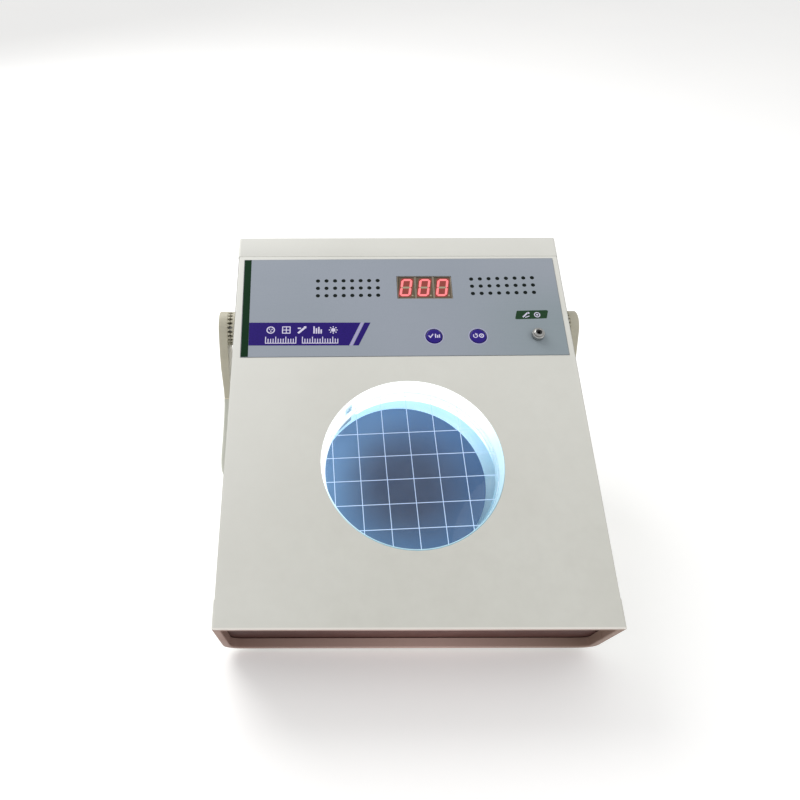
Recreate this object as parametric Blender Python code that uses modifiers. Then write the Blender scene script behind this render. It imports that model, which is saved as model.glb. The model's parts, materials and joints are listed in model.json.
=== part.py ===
"""Bench-top colony counter: a two-shell instrument case leaning on its bail handle.

Everything is modelled square to the case, in millimetres: X to the right, Y from the
front edge to the rear, Z up from the case's bottom face. The empty case_frame leans the
whole case back on its handle. The empty handle_pivot carries the handle, which runs
along the pivot's +Y, and rocker_pivot carries the rocker of the power switch.
"""

import math

import bmesh
import bpy
import numpy as np
from mathutils import Vector

MM = 0.001
SIDES = (("left", -1), ("right", 1))     # name and sign of X

# ---- case ----------------------------------------------------------------------------
CASE_WIDTH, CASE_LENGTH, CASE_HEIGHT = 230.0, 278.0, 60.0
WALL = 3.0
SPLIT_Z = 30.0
GAP = 0.3                        # air between neighbouring pieces
SIDE_STEP = 0.6                  # how far the end frames stand proud of the side walls
FRAME_FRONT_Y = 16.6             # depth of the front end frame
FRAME_REAR_Y = 260.5             # where the rear end frame starts
FRAME_WALL = 4.5
CORNER_RADIUS = 10.0             # bottom long corners
TOP_CHAMFER = 1.2
LIP = 5.5                        # how deep the end panels sit in their frames
PANEL_THICK = 2.0
GROOVE_DEPTH = 2.3               # panel groove, cut into the frame's wall
GROOVE_CORNER = CORNER_RADIUS - 2.0
RIB_THICK = 3.0                  # rib between the panel groove and the cavity
FRAME_CORNER, CAVITY_CORNER = 0.6, 0.8     # top corner radii

HALF_WIDTH = CASE_WIDTH / 2
BODY_HALF = HALF_WIDTH - SIDE_STEP
FRAME_HALF = HALF_WIDTH - FRAME_WALL
GROOVE_WIDTH = PANEL_THICK + 2 * GAP
SEAM_ABOVE, SEAM_BELOW = SPLIT_Z + GAP / 2, SPLIT_Z - GAP / 2
FLOOR_Z = WALL + GAP             # where parts stand on the case floor
BOSS_SINK = 0.6                  # how far bosses run into the floor or the roof
BOSS_FLOOR_Z = WALL - BOSS_SINK
BOSS_ROOF_Z = CASE_HEIGHT - WALL + BOSS_SINK

FOOT_HEIGHT, FOOT_RADIUS, FOOT_TOP_RADIUS = 5.0, 6.0, 7.5
FOOT_X, FOOT_FRONT_Y, FOOT_REAR_Y = 95.0, 14.0, 262.0
SCREW_X, SCREW_FRONT_Y, SCREW_REAR_Y = 100.0, 30.0, 245.0
SCREW_SPOTS = [(sign * SCREW_X, y) for y in (SCREW_FRONT_Y, SCREW_REAR_Y) for _, sign in SIDES]

# ---- top face: label, display and controls -------------------------------------------
LABEL_WIDTH, LABEL_LENGTH, LABEL_THICK = 220.8, 81.2, 0.5
LABEL_X, LABEL_Y = 0.2, 217.4
LABEL_RECESS = 0.6
LABEL_Z = CASE_HEIGHT - LABEL_RECESS + GAP
LABEL_TOP = LABEL_Z + LABEL_THICK

DIGIT_WIDTH, DIGIT_LENGTH, DIGIT_DEPTH, DIGIT_PITCH = 12.4, 19.0, 10.0, 12.7
DISPLAY_X, DISPLAY_Y = 17.25, 233.0

BUTTON_RADIUS, BUTTON_HOLE_RADIUS = 5.5, 5.9
BUTTONS = (("test", (21.2, 192.1)), ("reset", (51.0, 192.1)))
JACK_AT, JACK_HOLE_RADIUS = (91.1, 192.5), 3.3
TOP_CUT = (50, 62)               # Z span of the cutters through the top face and label

BOARD_Z, BOARD_THICK = 48.0, 1.6
BOARD_X, BOARD_Y = (-40.0, 80.0), (184.0, 246.0)
BOARD_SCREWS = ((-34.0, 190.0), (74.0, 240.0))
BOARD_TOP = BOARD_Z + BOARD_THICK + GAP  # where parts stand on the board

# ---- counting window -----------------------------------------------------------------
WINDOW_X, WINDOW_Y, WINDOW_RADIUS = 1.8, 101.0, 56.7
WINDOW_AT = (WINDOW_X, WINDOW_Y, 0)
GLASS_RADIUS, GLASS_TOP, GLASS_THICK = 55.4, 48.0, 3.0
DISC_RADIUS, DISC_TOP, DISC_THICK, DISC_X = 54.7, 25.0, 2.0, -1.6
LAMP_RADIUS, LAMP_TUBE_RADIUS, LAMP_Z = 63.2, 6.3, 33.0
LAMP_GAP_ANGLE, LAMP_GAP_HALF = 135.0, 8.0       # degrees, middle and half of the ring's gap

# ---- rear panel ----------------------------------------------------------------------
REAR_PANEL_Y = CASE_LENGTH - LIP - GAP - PANEL_THICK     # its inner face
REAR_OUT_Y = REAR_PANEL_Y + PANEL_THICK                  # its outer face
REAR_SEAT_Y = REAR_OUT_Y + GAP                           # where flanges sit on it
REAR_CUT = (268, 275)            # Y span of the cutters through it
INLET_X, SWITCH_X, FUSE_X, REAR_Z = 60.0, 15.0, -20.0, 30.0
INLET_SCREW_OFFSET, INLET_SCREW_HOLE = 20, 1.9
ROCKER_REST = -10.0              # degrees

# ---- handle and its toothed hubs; X values are distances from the case's centre ------
HUB_Y, HUB_Z, HUB_RADIUS = 218.7, 30.0, 12.4
HUB_AT = (0, HUB_Y, HUB_Z)
HUB_NECK_RADIUS = 10.0           # hub boss where it passes through the side wall
HUB_TEETH, TEETH_INNER, TEETH_OUTER = 24, 8.4, 12.1
TOOTH_SINK, TOOTH_ROOT = 0.8, 0.2        # teeth ring below and above its seating face
PIVOT_BORE = 2.8
BOSS_IN, BOSS_FACE, BOSS_CREST = BODY_HALF + GAP, 118.2, 120.1
ARM_CREST, ARM_ROOT, ARM_OUT = 120.4, 122.3, 128.4
ARM_MID_X, ARM_HALF = 125, 9.5   # middle of its blank, and half its height at the grip
ARM_END = 50.0                   # along the arm, from the hub
ARM_CUT_X = 135                  # outer end of the cutters into the arm
TONGUE_IN, TONGUE_OUT, TONGUE_HALF = 123.1, 125.5, 5

HANDLE_ANGLE = 45.0              # handle below the case's bottom plane, pointing forward
GRIP_Y = 117.5                   # hub to the grip bar's centre line
GRIP_BEND, GRIP_BEND_X = 11.5, 115.6     # corner radius of the centre line, and its centre
GRIP_WIDTH, GRIP_THICK, GRIP_ROUND = 17.0, 10.0, 4.0     # section across the back
SLIM_WIDTH, SLIM_THICK, SLIM_ROUND = 18.4, 5.6, 1.6      # section at the arms
BLEND_START, BLEND_LENGTH = 60.0, 38.0   # where along the arms one becomes the other

ORIGIN_Y = 115.630               # row origin, along the table from the case's low front edge


def lean_angle():
    """Angle at which the front feet and the grip bar touch the table together."""
    handle = math.radians(HANDLE_ANGLE)
    grip = (HUB_Y - GRIP_Y * math.cos(handle), HUB_Z - GRIP_Y * math.sin(handle))
    foot = (FOOT_FRONT_Y - FOOT_RADIUS, -FOOT_HEIGHT)

    def grip_below_foot(tilt):
        down = (-math.sin(tilt), -math.cos(tilt))
        along = -(down[0] * math.cos(handle) + down[1] * math.sin(handle))
        across = abs(down[0] * math.sin(handle) - down[1] * math.cos(handle))
        reach = (
            (GRIP_THICK / 2 - GRIP_ROUND) * along
            + (GRIP_WIDTH / 2 - GRIP_ROUND) * across
            + GRIP_ROUND
        )
        low_grip = grip[0] * down[0] + grip[1] * down[1] + reach
        low_foot = foot[0] * down[0] + foot[1] * down[1]
        return low_grip - low_foot

    low, high = math.radians(5), math.radians(40)
    for _ in range(60):
        middle = (low + high) / 2
        if grip_below_foot(middle) > 0:
            low = middle
        else:
            high = middle
    return low


# ---- a clean scene -------------------------------------------------------------------
for old in list(bpy.data.objects):
    bpy.data.objects.remove(old, do_unlink=True)
for old in list(bpy.data.collections):
    bpy.data.collections.remove(old)

parts = bpy.data.collections.new("colony_counter")
cutters = bpy.data.collections.new("cutters")
bpy.context.scene.collection.children.link(parts)
bpy.context.scene.collection.children.link(cutters)


# ---- materials -----------------------------------------------------------------------
def material(name, colour, roughness, metallic=0.0):
    made = bpy.data.materials.new(name)
    made.use_nodes = True
    inputs = made.node_tree.nodes["Principled BSDF"].inputs
    inputs["Base Color"].default_value = (*colour, 1.0)
    inputs["Roughness"].default_value = roughness
    inputs["Metallic"].default_value = metallic
    made.diffuse_color = (*colour, 1.0)
    return made


CASE_ABS = material("case_abs", colour=(0.66, 0.65, 0.58), roughness=0.55)
HANDLE_ABS = material("handle_abs", colour=(0.50, 0.48, 0.40), roughness=0.5)
END_PANEL = material("end_panel", colour=(0.24, 0.15, 0.13), roughness=0.5)
LABEL_FILM = material("label_film", colour=(0.30, 0.36, 0.42), roughness=0.4)
LED_DIGIT = material("led_digit", colour=(0.11, 0.09, 0.06), roughness=0.3)
INDIGO = material("button_indigo", colour=(0.035, 0.02, 0.28), roughness=0.35)
STEEL = material("plated_steel", colour=(0.62, 0.62, 0.60), roughness=0.25, metallic=1.0)
GLASS = material("plate_glass", colour=(0.75, 0.85, 0.95), roughness=0.05)
WHITE = material("white_plastic", colour=(0.85, 0.86, 0.86), roughness=0.45)
LAMP_GLASS = material("lamp_glass", colour=(0.95, 0.97, 1.0), roughness=0.3)
DARK_FIELD = material("dark_field", colour=(0.06, 0.10, 0.22), roughness=0.5)
RUBBER = material("rubber_black", colour=(0.03, 0.03, 0.03), roughness=0.85)
BOARD_GREEN = material("board_green", colour=(0.02, 0.16, 0.06), roughness=0.45)
BLACK = material("black_plastic", colour=(0.02, 0.02, 0.02), roughness=0.4)
CORE_STEEL = material("core_steel", colour=(0.25, 0.24, 0.23), roughness=0.5, metallic=0.8)
CABLE_PVC = material("cable_pvc", colour=(0.10, 0.10, 0.11), roughness=0.5)


# ---- frames --------------------------------------------------------------------------
def frame(name, at, tilt, parent=None):
    """Empty turned about X by tilt, in radians."""
    empty = bpy.data.objects.new(name, None)
    parts.objects.link(empty)
    empty.parent = parent
    empty.location = Vector(at) * MM
    empty.rotation_euler = (tilt, 0.0, 0.0)
    return empty


LEAN = lean_angle()
foot_low = (FOOT_FRONT_Y - FOOT_RADIUS) * math.sin(LEAN) - FOOT_HEIGHT * math.cos(LEAN)
case_frame = frame("case_frame", (0, -ORIGIN_Y, -foot_low), LEAN)
handle_pivot = frame("handle_pivot", HUB_AT, math.radians(180.0 + HANDLE_ANGLE), case_frame)
rocker_pivot = frame("rocker_pivot", (SWITCH_X, REAR_OUT_Y + 0.2, REAR_Z),
                     math.radians(ROCKER_REST), case_frame)

TO_X = (0.0, math.pi / 2, 0.0)           # lays a turned piece's axis along +X
TO_Y = (-math.pi / 2, 0.0, 0.0)          # and along +Y
IN_XZ = (math.pi / 2, 0, 0)              # stands a flat outline in the XZ plane
IN_YZ = (math.pi / 2, 0, math.pi / 2)    # and in the YZ plane


# ---- modelling helpers ---------------------------------------------------------------
def around(centre, half):
    return centre - half, centre + half


def side_span(sign, inner, outer):
    """X span between two distances from the centre, on the side given by sign."""
    return sorted((sign * inner, sign * outer))


def arc(centre_x, centre_y, radius, start, end, count):
    """Points on an arc, angles in degrees."""
    return [
        (centre_x + radius * math.cos(math.radians(angle)),
         centre_y + radius * math.sin(math.radians(angle)))
        for angle in np.linspace(start, end, count)
    ]


def about_window(radius, angle):
    """XY point at a radius and an angle in degrees round the window's centre."""
    turn = math.radians(angle)
    return WINDOW_X + radius * math.cos(turn), WINDOW_Y + radius * math.sin(turn)


def place(obj, at=(0, 0, 0), turn=(0, 0, 0), mat=None, parent=None, cutter=False):
    (cutters if cutter else parts).objects.link(obj)
    obj.parent = parent or case_frame
    obj.location = Vector(at) * MM
    obj.rotation_euler = turn
    if mat is not None:
        obj.data.materials.append(mat)
    if cutter:
        obj.hide_render = True
        obj.display_type = "WIRE"
    return obj


def from_bmesh(name, bm):
    bmesh.ops.recalc_face_normals(bm, faces=bm.faces)
    mesh = bpy.data.meshes.new(name)
    bm.to_mesh(mesh)
    bm.free()
    return bpy.data.objects.new(name, mesh)


def block(name, size):
    bm = bmesh.new()
    bmesh.ops.create_cube(bm, size=1.0)
    bmesh.ops.scale(bm, vec=Vector(size) * MM, verts=bm.verts)
    return from_bmesh(name, bm)


def cone(name, radius, top_radius, depth, seg):
    bm = bmesh.new()
    bmesh.ops.create_cone(bm, cap_ends=True, segments=seg, radius1=radius * MM,
                          radius2=top_radius * MM, depth=depth * MM)
    return from_bmesh(name, bm)


def box(name, x_span, y_span, z_span, bevel=0.0, **kw):
    """Block filling three (low, high) spans, with its origin at its centre."""
    low, high = (Vector(corner) for corner in zip(x_span, y_span, z_span))
    obj = place(block(name, high - low), at=(low + high) / 2, **kw)
    if bevel:
        edges = obj.modifiers.new("edges", "BEVEL")
        edges.width = bevel * MM
        edges.segments = 1
        edges.limit_method = "ANGLE"
    return obj


def rod(name, radius, start, end, at=(0, 0), seg=24, top_radius=None, axis="Z", **kw):
    """Cylinder or cone from start to end on an axis; at is its other two coordinates."""
    top_radius = radius if top_radius is None else top_radius
    obj = cone(name, radius, top_radius, abs(end - start), seg)
    obj.data.shade_smooth()
    obj.data.set_sharp_from_angle(angle=math.radians(40.0))
    middle = (start + end) / 2
    if axis == "Z":
        return place(obj, (*at, middle), **kw)
    if axis == "X":
        return place(obj, (middle, *at), TO_X, **kw)
    return place(obj, (at[0], middle, at[1]), TO_Y, **kw)


def lathe(name, profile, seg=32, closed=False, **kw):
    """Turned piece from a profile of (radius, height) points."""
    bm = bmesh.new()
    verts = [bm.verts.new((radius * MM, 0.0, z * MM)) for radius, z in profile]
    for pair in zip(verts, verts[1:]):
        bm.edges.new(pair)
    if closed:
        bm.edges.new((verts[-1], verts[0]))
    mesh = bpy.data.meshes.new(name)
    bm.to_mesh(mesh)
    bm.free()
    obj = place(bpy.data.objects.new(name, mesh), **kw)
    screw = obj.modifiers.new("turn", "SCREW")
    screw.axis = "Z"
    screw.steps = screw.render_steps = seg
    screw.use_merge_vertices = True
    screw.merge_threshold = 0.00001
    screw.use_smooth_shade = False
    return obj


def add_line(curve, points, cyclic):
    line = curve.splines.new("POLY")
    line.points.add(len(points) - 1)
    for point, (x, y, z) in zip(line.points, points):
        point.co = (x * MM, y * MM, z * MM, 1.0)
    line.use_cyclic_u = cyclic


def prism(name, outline, depth, **kw):
    """Flat outline given depth, centred on its plane."""
    curve = bpy.data.curves.new(name + "_outline", "CURVE")
    curve.dimensions = "2D"
    curve.fill_mode = "BOTH"
    curve.extrude = depth / 2 * MM
    add_line(curve, [(x, y, 0.0) for x, y in outline], cyclic=True)
    return meshed(name, curve, **kw)


def tube(name, points, radius, rings=2, **kw):
    """Round bar along a line of points, with its ends closed."""
    curve = bpy.data.curves.new(name + "_line", "CURVE")
    curve.dimensions = "3D"
    curve.bevel_depth = radius * MM
    curve.bevel_resolution = rings
    curve.use_fill_caps = True
    add_line(curve, points, cyclic=False)
    return meshed(name, curve, **kw)


def meshed(name, curve, **kw):
    """Place a curve as a mesh, with its caps welded on."""
    source = bpy.data.objects.new(name + "_curve", curve)
    bpy.context.scene.collection.objects.link(source)
    bpy.context.view_layer.update()
    depsgraph = bpy.context.evaluated_depsgraph_get()
    mesh = bpy.data.meshes.new_from_object(source.evaluated_get(depsgraph))
    mesh.name = name
    bm = bmesh.new()
    bm.from_mesh(mesh)
    bmesh.ops.remove_doubles(bm, verts=bm.verts, dist=0.000005)
    bmesh.ops.recalc_face_normals(bm, faces=bm.faces)
    bm.to_mesh(mesh)
    bm.free()
    bpy.data.objects.remove(source, do_unlink=True)
    return place(bpy.data.objects.new(name, mesh), **kw)


def boolean(obj, operation, tools):
    for tool in tools:
        modifier = obj.modifiers.new(tool.name, "BOOLEAN")
        modifier.operation = operation
        modifier.solver = "EXACT"
        modifier.object = tool


def cut(obj, *tools):
    boolean(obj, "DIFFERENCE", tools)


def add(obj, *tools):
    boolean(obj, "UNION", tools)


def case_section(half, low, high, low_radius, high_radius):
    """Case cross-section in XZ: rounded low corners, tight high corners."""
    points = arc(-half + low_radius, low + low_radius, low_radius, 180, 270, 6)
    points += arc(half - low_radius, low + low_radius, low_radius, 270, 360, 6)
    points += arc(half - high_radius, high - high_radius, high_radius, 0, 90, 2)
    points += arc(-half + high_radius, high - high_radius, high_radius, 90, 180, 2)
    return points


def along_y(name, outline, start, end, **kw):
    """XZ outline run from one Y to another."""
    return prism(name, outline, end - start, at=(0, (start + end) / 2, 0), turn=IN_XZ, **kw)


# ---- case shells ---------------------------------------------------------------------
def shell_cutters():
    """Hollow, end frames, panel grooves and hub holes, shared by both shells."""
    cavity_start = LIP + GROOVE_WIDTH + RIB_THICK
    cavity_end = CASE_LENGTH - cavity_start
    cavity = case_section(BODY_HALF - WALL, WALL, CASE_HEIGHT - WALL,
                          CORNER_RADIUS - WALL, CAVITY_CORNER)
    mouth = case_section(FRAME_HALF, FRAME_WALL, CASE_HEIGHT - FRAME_WALL,
                         CORNER_RADIUS - FRAME_WALL, FRAME_CORNER)
    groove = case_section(FRAME_HALF + GROOVE_DEPTH, FRAME_WALL - GROOVE_DEPTH,
                          CASE_HEIGHT - FRAME_WALL + GROOVE_DEPTH, GROOVE_CORNER, FRAME_CORNER)
    rear_groove_end = CASE_LENGTH - LIP
    tools = [
        box(f"side_step_{side}", side_span(sign, BODY_HALF, HALF_WIDTH + 1),
            (FRAME_FRONT_Y, FRAME_REAR_Y), (-1, CASE_HEIGHT + 1), cutter=True)
        for side, sign in SIDES
    ]
    for name, outline, start, end in (
        ("cavity", cavity, cavity_start, cavity_end),
        ("front_mouth", mouth, -1, cavity_start + 1),
        ("rear_mouth", mouth, cavity_end - 1, CASE_LENGTH + 1),
        ("front_groove", groove, LIP, LIP + GROOVE_WIDTH),
        ("rear_groove", groove, rear_groove_end - GROOVE_WIDTH, rear_groove_end),
    ):
        tools.append(along_y(name, outline, start, end, cutter=True))
    for side, sign in SIDES:
        tools.append(rod(f"hub_hole_{side}", HUB_NECK_RADIUS + GAP, *side_span(sign, 104, 118),
                         at=(HUB_Y, HUB_Z), axis="X", cutter=True))
    return tools


def top_openings():
    """Holes through the top face and the label over it."""
    display_half = (DIGIT_PITCH * 2 + DIGIT_WIDTH) / 2 + GAP
    tools = [box("display_hole", around(DISPLAY_X, display_half),
                 around(DISPLAY_Y, DIGIT_LENGTH / 2 + GAP), TOP_CUT, cutter=True)]
    for name, at in BUTTONS:
        tools.append(rod(f"{name}_hole", BUTTON_HOLE_RADIUS, *TOP_CUT, at=at, cutter=True))
    tools.append(rod("jack_hole", JACK_HOLE_RADIUS, *TOP_CUT, at=JACK_AT, seg=20, cutter=True))
    return tools


def build_upper_case(shell_tools, openings):
    shoulder = CASE_HEIGHT - TOP_CHAMFER
    top_half = HALF_WIDTH - TOP_CHAMFER
    outline = [
        (-HALF_WIDTH, SEAM_ABOVE), (HALF_WIDTH, SEAM_ABOVE), (HALF_WIDTH, shoulder),
        (top_half, CASE_HEIGHT), (-top_half, CASE_HEIGHT), (-HALF_WIDTH, shoulder),
    ]
    case = along_y("upper_case", outline, 0, CASE_LENGTH, mat=CASE_ABS)
    cut(case, *shell_tools)
    cut(
        case,
        rod("window_hole", WINDOW_RADIUS, 50, 61, at=(WINDOW_X, WINDOW_Y), seg=56, cutter=True),
        box("label_recess", around(LABEL_X, LABEL_WIDTH / 2 + GAP),
            around(LABEL_Y, LABEL_LENGTH / 2 + GAP),
            (CASE_HEIGHT - LABEL_RECESS, CASE_HEIGHT + 1), cutter=True),
        *openings,
    )
    for i, at in enumerate(SCREW_SPOTS, 1):
        add(case, rod(f"upper_boss_{i}", 4.5, SEAM_ABOVE, BOSS_ROOF_Z, at=at, seg=12,
                      cutter=True))
        cut(case, rod(f"upper_pilot_{i}", 2.0, SPLIT_Z - 1, 50, at=at, seg=8, cutter=True))
    for i, at in enumerate(BOARD_SCREWS, 1):
        add(case, rod(f"board_boss_{i}", 3.6, BOARD_TOP, BOSS_ROOF_Z, at=at, seg=12,
                      cutter=True))
        cut(case, rod(f"board_pilot_{i}", 1.7, BOARD_Z, 55.6, at=at, seg=12, cutter=True))


def build_lower_case(shell_tools):
    outline = (
        [(-HALF_WIDTH, SEAM_BELOW)]
        + arc(-HALF_WIDTH + CORNER_RADIUS, CORNER_RADIUS, CORNER_RADIUS, 180, 270, 6)
        + arc(HALF_WIDTH - CORNER_RADIUS, CORNER_RADIUS, CORNER_RADIUS, 270, 360, 6)
        + [(HALF_WIDTH, SEAM_BELOW)]
    )
    case = along_y("lower_case", outline, 0, CASE_LENGTH, mat=CASE_ABS)
    cut(case, *shell_tools)
    for i, at in enumerate(SCREW_SPOTS, 1):
        add(case, rod(f"lower_boss_{i}", 4.5, BOSS_FLOOR_Z, SEAM_BELOW, at=at, seg=12,
                      cutter=True))
        cut(case,
            rod(f"lower_clear_{i}", 2.1, 4, SPLIT_Z + 1, at=at, seg=8, cutter=True),
            rod(f"head_pocket_{i}", 3.8, -1, 6, at=at, seg=12, cutter=True))

    post_circle, post_radius, post_top = 42, 4.0, 17.7
    for i in range(3):
        add(case, rod(f"dish_post_{i + 1}", post_radius, BOSS_FLOOR_Z, post_top,
                      at=about_window(post_circle, 90 + 120 * i), seg=16, cutter=True))

    vent_start, vent_pitch, vent_width, vent_half = 186.0, 9.0, 3, 22
    for i in range(5):
        y = vent_start + vent_pitch * i
        cut(case, box(f"vent_{i + 1}", around(0, vent_half), (y, y + vent_width), (-1, 4),
                      cutter=True))


def build_end_panels():
    edge = GROOVE_DEPTH - GAP    # how far a panel reaches into its groove
    outline = case_section(FRAME_HALF + edge, FRAME_WALL - edge,
                           CASE_HEIGHT - FRAME_WALL + edge, GROOVE_CORNER - GAP, FRAME_CORNER)
    along_y("front_panel", outline, LIP + GAP, LIP + GAP + PANEL_THICK, mat=END_PANEL)
    rear = along_y("rear_panel", outline, REAR_PANEL_Y, REAR_OUT_Y, mat=END_PANEL)
    cut(
        rear,
        box("inlet_hole", around(INLET_X, 13.8), REAR_CUT, around(REAR_Z, 10.1), cutter=True),
        *inlet_screw_holes("inlet_screw_hole", REAR_CUT),
        box("switch_hole", around(SWITCH_X, 6.8), REAR_CUT, around(REAR_Z, 9.8), cutter=True),
        rod("fuse_hole", 6.4, *REAR_CUT, at=(FUSE_X, REAR_Z), axis="Y", cutter=True),
    )


def inlet_screw_holes(name, y_span):
    return [
        rod(f"{name}_{side}", INLET_SCREW_HOLE, *y_span,
            at=(INLET_X + sign * INLET_SCREW_OFFSET, REAR_Z), axis="Y", seg=12, cutter=True)
        for side, sign in SIDES
    ]


def build_label(openings):
    label = box("label_overlay", around(LABEL_X, LABEL_WIDTH / 2),
                around(LABEL_Y, LABEL_LENGTH / 2), (LABEL_Z, LABEL_TOP), mat=LABEL_FILM)
    cut(label, *openings)


def build_feet():
    for row, y in (("front", FOOT_FRONT_Y), ("rear", FOOT_REAR_Y)):
        for side, sign in SIDES:
            rod(f"foot_{row}_{side}", FOOT_RADIUS, -FOOT_HEIGHT, -GAP, at=(sign * FOOT_X, y),
                top_radius=FOOT_TOP_RADIUS, mat=RUBBER)


def build_case_screws():
    # (radius, Z), tip to head
    profile = [(0, 46), (1.6, 44.5), (1.6, 5.7), (3.2, 5.7), (3.2, 4.0), (2.4, 3.4), (0, 3.4)]
    for i, at in enumerate(SCREW_SPOTS, 1):
        lathe(f"case_screw_{i}", profile, at=(*at, 0), mat=STEEL, seg=12)


# ---- display board -------------------------------------------------------------------
def build_board():
    board = box("main_board", BOARD_X, BOARD_Y, (BOARD_Z, BOARD_Z + BOARD_THICK),
                mat=BOARD_GREEN)
    # (radius, Z), tip to head
    screw = [(0, 54.5), (1.4, 53.5), (1.4, 47.7), (2.8, 47.7), (2.8, 46.2), (0, 45.6)]
    for i, at in enumerate(BOARD_SCREWS, 1):
        cut(board, rod(f"board_hole_{i}", 1.9, BOARD_Z - 1, BOARD_Z + 3, at=at, seg=12,
                       cutter=True))
        lathe(f"board_screw_{i}", screw, at=(*at, 0), mat=STEEL, seg=12)


def build_board_parts():
    for k, name in enumerate(("digit_left", "digit_middle", "digit_right")):
        box(name, around(DISPLAY_X + (k - 1) * DIGIT_PITCH, DIGIT_WIDTH / 2),
            around(DISPLAY_Y, DIGIT_LENGTH / 2), (BOARD_TOP, BOARD_TOP + DIGIT_DEPTH),
            mat=LED_DIGIT)
    box("counter_chip", (-28, 8), (198, 208), (BOARD_TOP, BOARD_TOP + 4), mat=BLACK, bevel=0.6)
    rod("buzzer", 6.0, BOARD_TOP, 56.4, at=(-28, 232), mat=BLACK)


def build_buttons():
    """Each button with the plunger and the small switch below it."""
    # (radius, Z), top to bottom
    profile = [
        (0, 60.8), (4.9, 60.7), (BUTTON_RADIUS, 60.2), (BUTTON_RADIUS, 56.7),
        (7.5, 56.7), (7.5, 55.5), (0, 55.2),
    ]
    switch_half, switch_height = 3.1, 3.5
    for name, (x, y) in BUTTONS:
        lathe(f"button_{name}", profile, at=(x, y, 0), mat=INDIGO, seg=24)
        rod(f"key_plunger_{name}", 1.8, 52.4, 54.9, at=(x, y), mat=BLACK, seg=16)
        switch = box(f"tact_switch_{name}", around(x, switch_half), around(y, switch_half),
                     (BOARD_TOP, BOARD_TOP + switch_height), mat=BLACK)
        cut(switch, rod(f"plunger_bore_{name}", 2.1, 51.2, 55, at=(x, y), seg=16, cutter=True))


def build_jack():
    # (radius, Z)
    jack = [
        (0, 47), (1.8, 47), (1.8, 64.8), (2.7, 64.8), (3.0, 64.5),
        (3.0, 56.7), (4.4, 56.7), (4.4, 44), (0, 44),
    ]
    nut_base = LABEL_TOP + GAP
    nut = [(3.3, 63.6), (3.8, 63.6), (4.35, 63.1), (4.35, nut_base), (3.3, nut_base)]
    lathe("probe_jack", jack, at=(*JACK_AT, 0), mat=STEEL, seg=20)
    lathe("jack_nut", nut, at=(*JACK_AT, 0), mat=STEEL, seg=24, closed=True)


# ---- counting window -----------------------------------------------------------------
def build_window():
    """Ring in the top face, with the glass plate inside it."""
    glass_base = GLASS_TOP - GLASS_THICK
    # (radius, Z), from the inner top edge round the outside
    ring = [
        (55.8, 60.0), (56.2, 60.0), (56.4, 59.8), (56.4, 56.7), (64, 56.7), (64, 55.0),
        (59.5, 55.0), (59.5, 42), (54.0, 42), (54.0, glass_base - GAP),
        (55.8, glass_base - GAP),
    ]
    lathe("window_ring", ring, at=WINDOW_AT, mat=WHITE, seg=48, closed=True)
    rod("grid_plate", GLASS_RADIUS, glass_base, GLASS_TOP, at=WINDOW_AT[:2], mat=GLASS, seg=48)


def build_reflector():
    """White tray round the lamp, with the dark disc on its centre."""
    disc_base = DISC_TOP - DISC_THICK
    # (radius, Z)
    tray = [
        (0, disc_base - GAP), (10, disc_base - GAP), (10, 20), (70, 20), (70, 34),
        (72, 34), (72, 20), (70, 18), (0, 18),
    ]
    lathe("lamp_reflector", tray, at=WINDOW_AT, mat=WHITE, seg=36)
    rod("base_disc", DISC_RADIUS, disc_base, DISC_TOP, at=(DISC_X, WINDOW_Y), mat=DARK_FIELD,
        seg=48)


def radial_block(name, angle, radial_span, tangential, z_span, mat):
    """Block set at an angle round the window's centre."""
    inner, outer = radial_span
    low, high = z_span
    obj = block(name, (outer - inner, tangential, high - low))
    centre = (*about_window((inner + outer) / 2, angle), (low + high) / 2)
    return place(obj, centre, (0, 0, math.radians(angle)), mat)


def build_lamp():
    """Ring lamp, the socket across its gap and the clip opposite."""
    start = LAMP_GAP_ANGLE + LAMP_GAP_HALF
    end = LAMP_GAP_ANGLE - LAMP_GAP_HALF + 360.0
    line = [(x, y, LAMP_Z) for x, y in arc(0, 0, LAMP_RADIUS, start, end, 41)]
    tube("ring_lamp", line, LAMP_TUBE_RADIUS, at=WINDOW_AT, mat=LAMP_GLASS)
    radial_block("lamp_socket", LAMP_GAP_ANGLE, (57.5, 69.0), 13.0, (26.0, 40.3), WHITE)

    clip_angle = LAMP_GAP_ANGLE - 180.0
    clip = radial_block("lamp_clip", clip_angle, (55.8, 69.3), 7.0, (20.4, 27.8), STEEL)
    seat_radius = LAMP_TUBE_RADIUS + 0.6
    cut(clip, place(cone("clip_seat", seat_radius, seat_radius, depth=20, seg=20),
                    (*about_window(LAMP_RADIUS, clip_angle), LAMP_Z),
                    (math.pi / 2, 0, math.radians(clip_angle)), cutter=True))


# ---- power parts ---------------------------------------------------------------------
def build_transformer():
    transformer = box("transformer", (-83, -37), (212, 232), (FLOOR_Z, 41.3), mat=CORE_STEEL)
    add(transformer,
        box("coil_block", (-74.5, -45.5), (203, 241), (9, 35), cutter=True),
        box("mounting_strap", (-90, -30), (216, 228), (FLOOR_Z, 5.3), cutter=True))


def build_ballast():
    box("lamp_ballast", (13, 90), (196, 229), (FLOOR_Z, 25.3), mat=WHITE, bevel=1.0)


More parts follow.
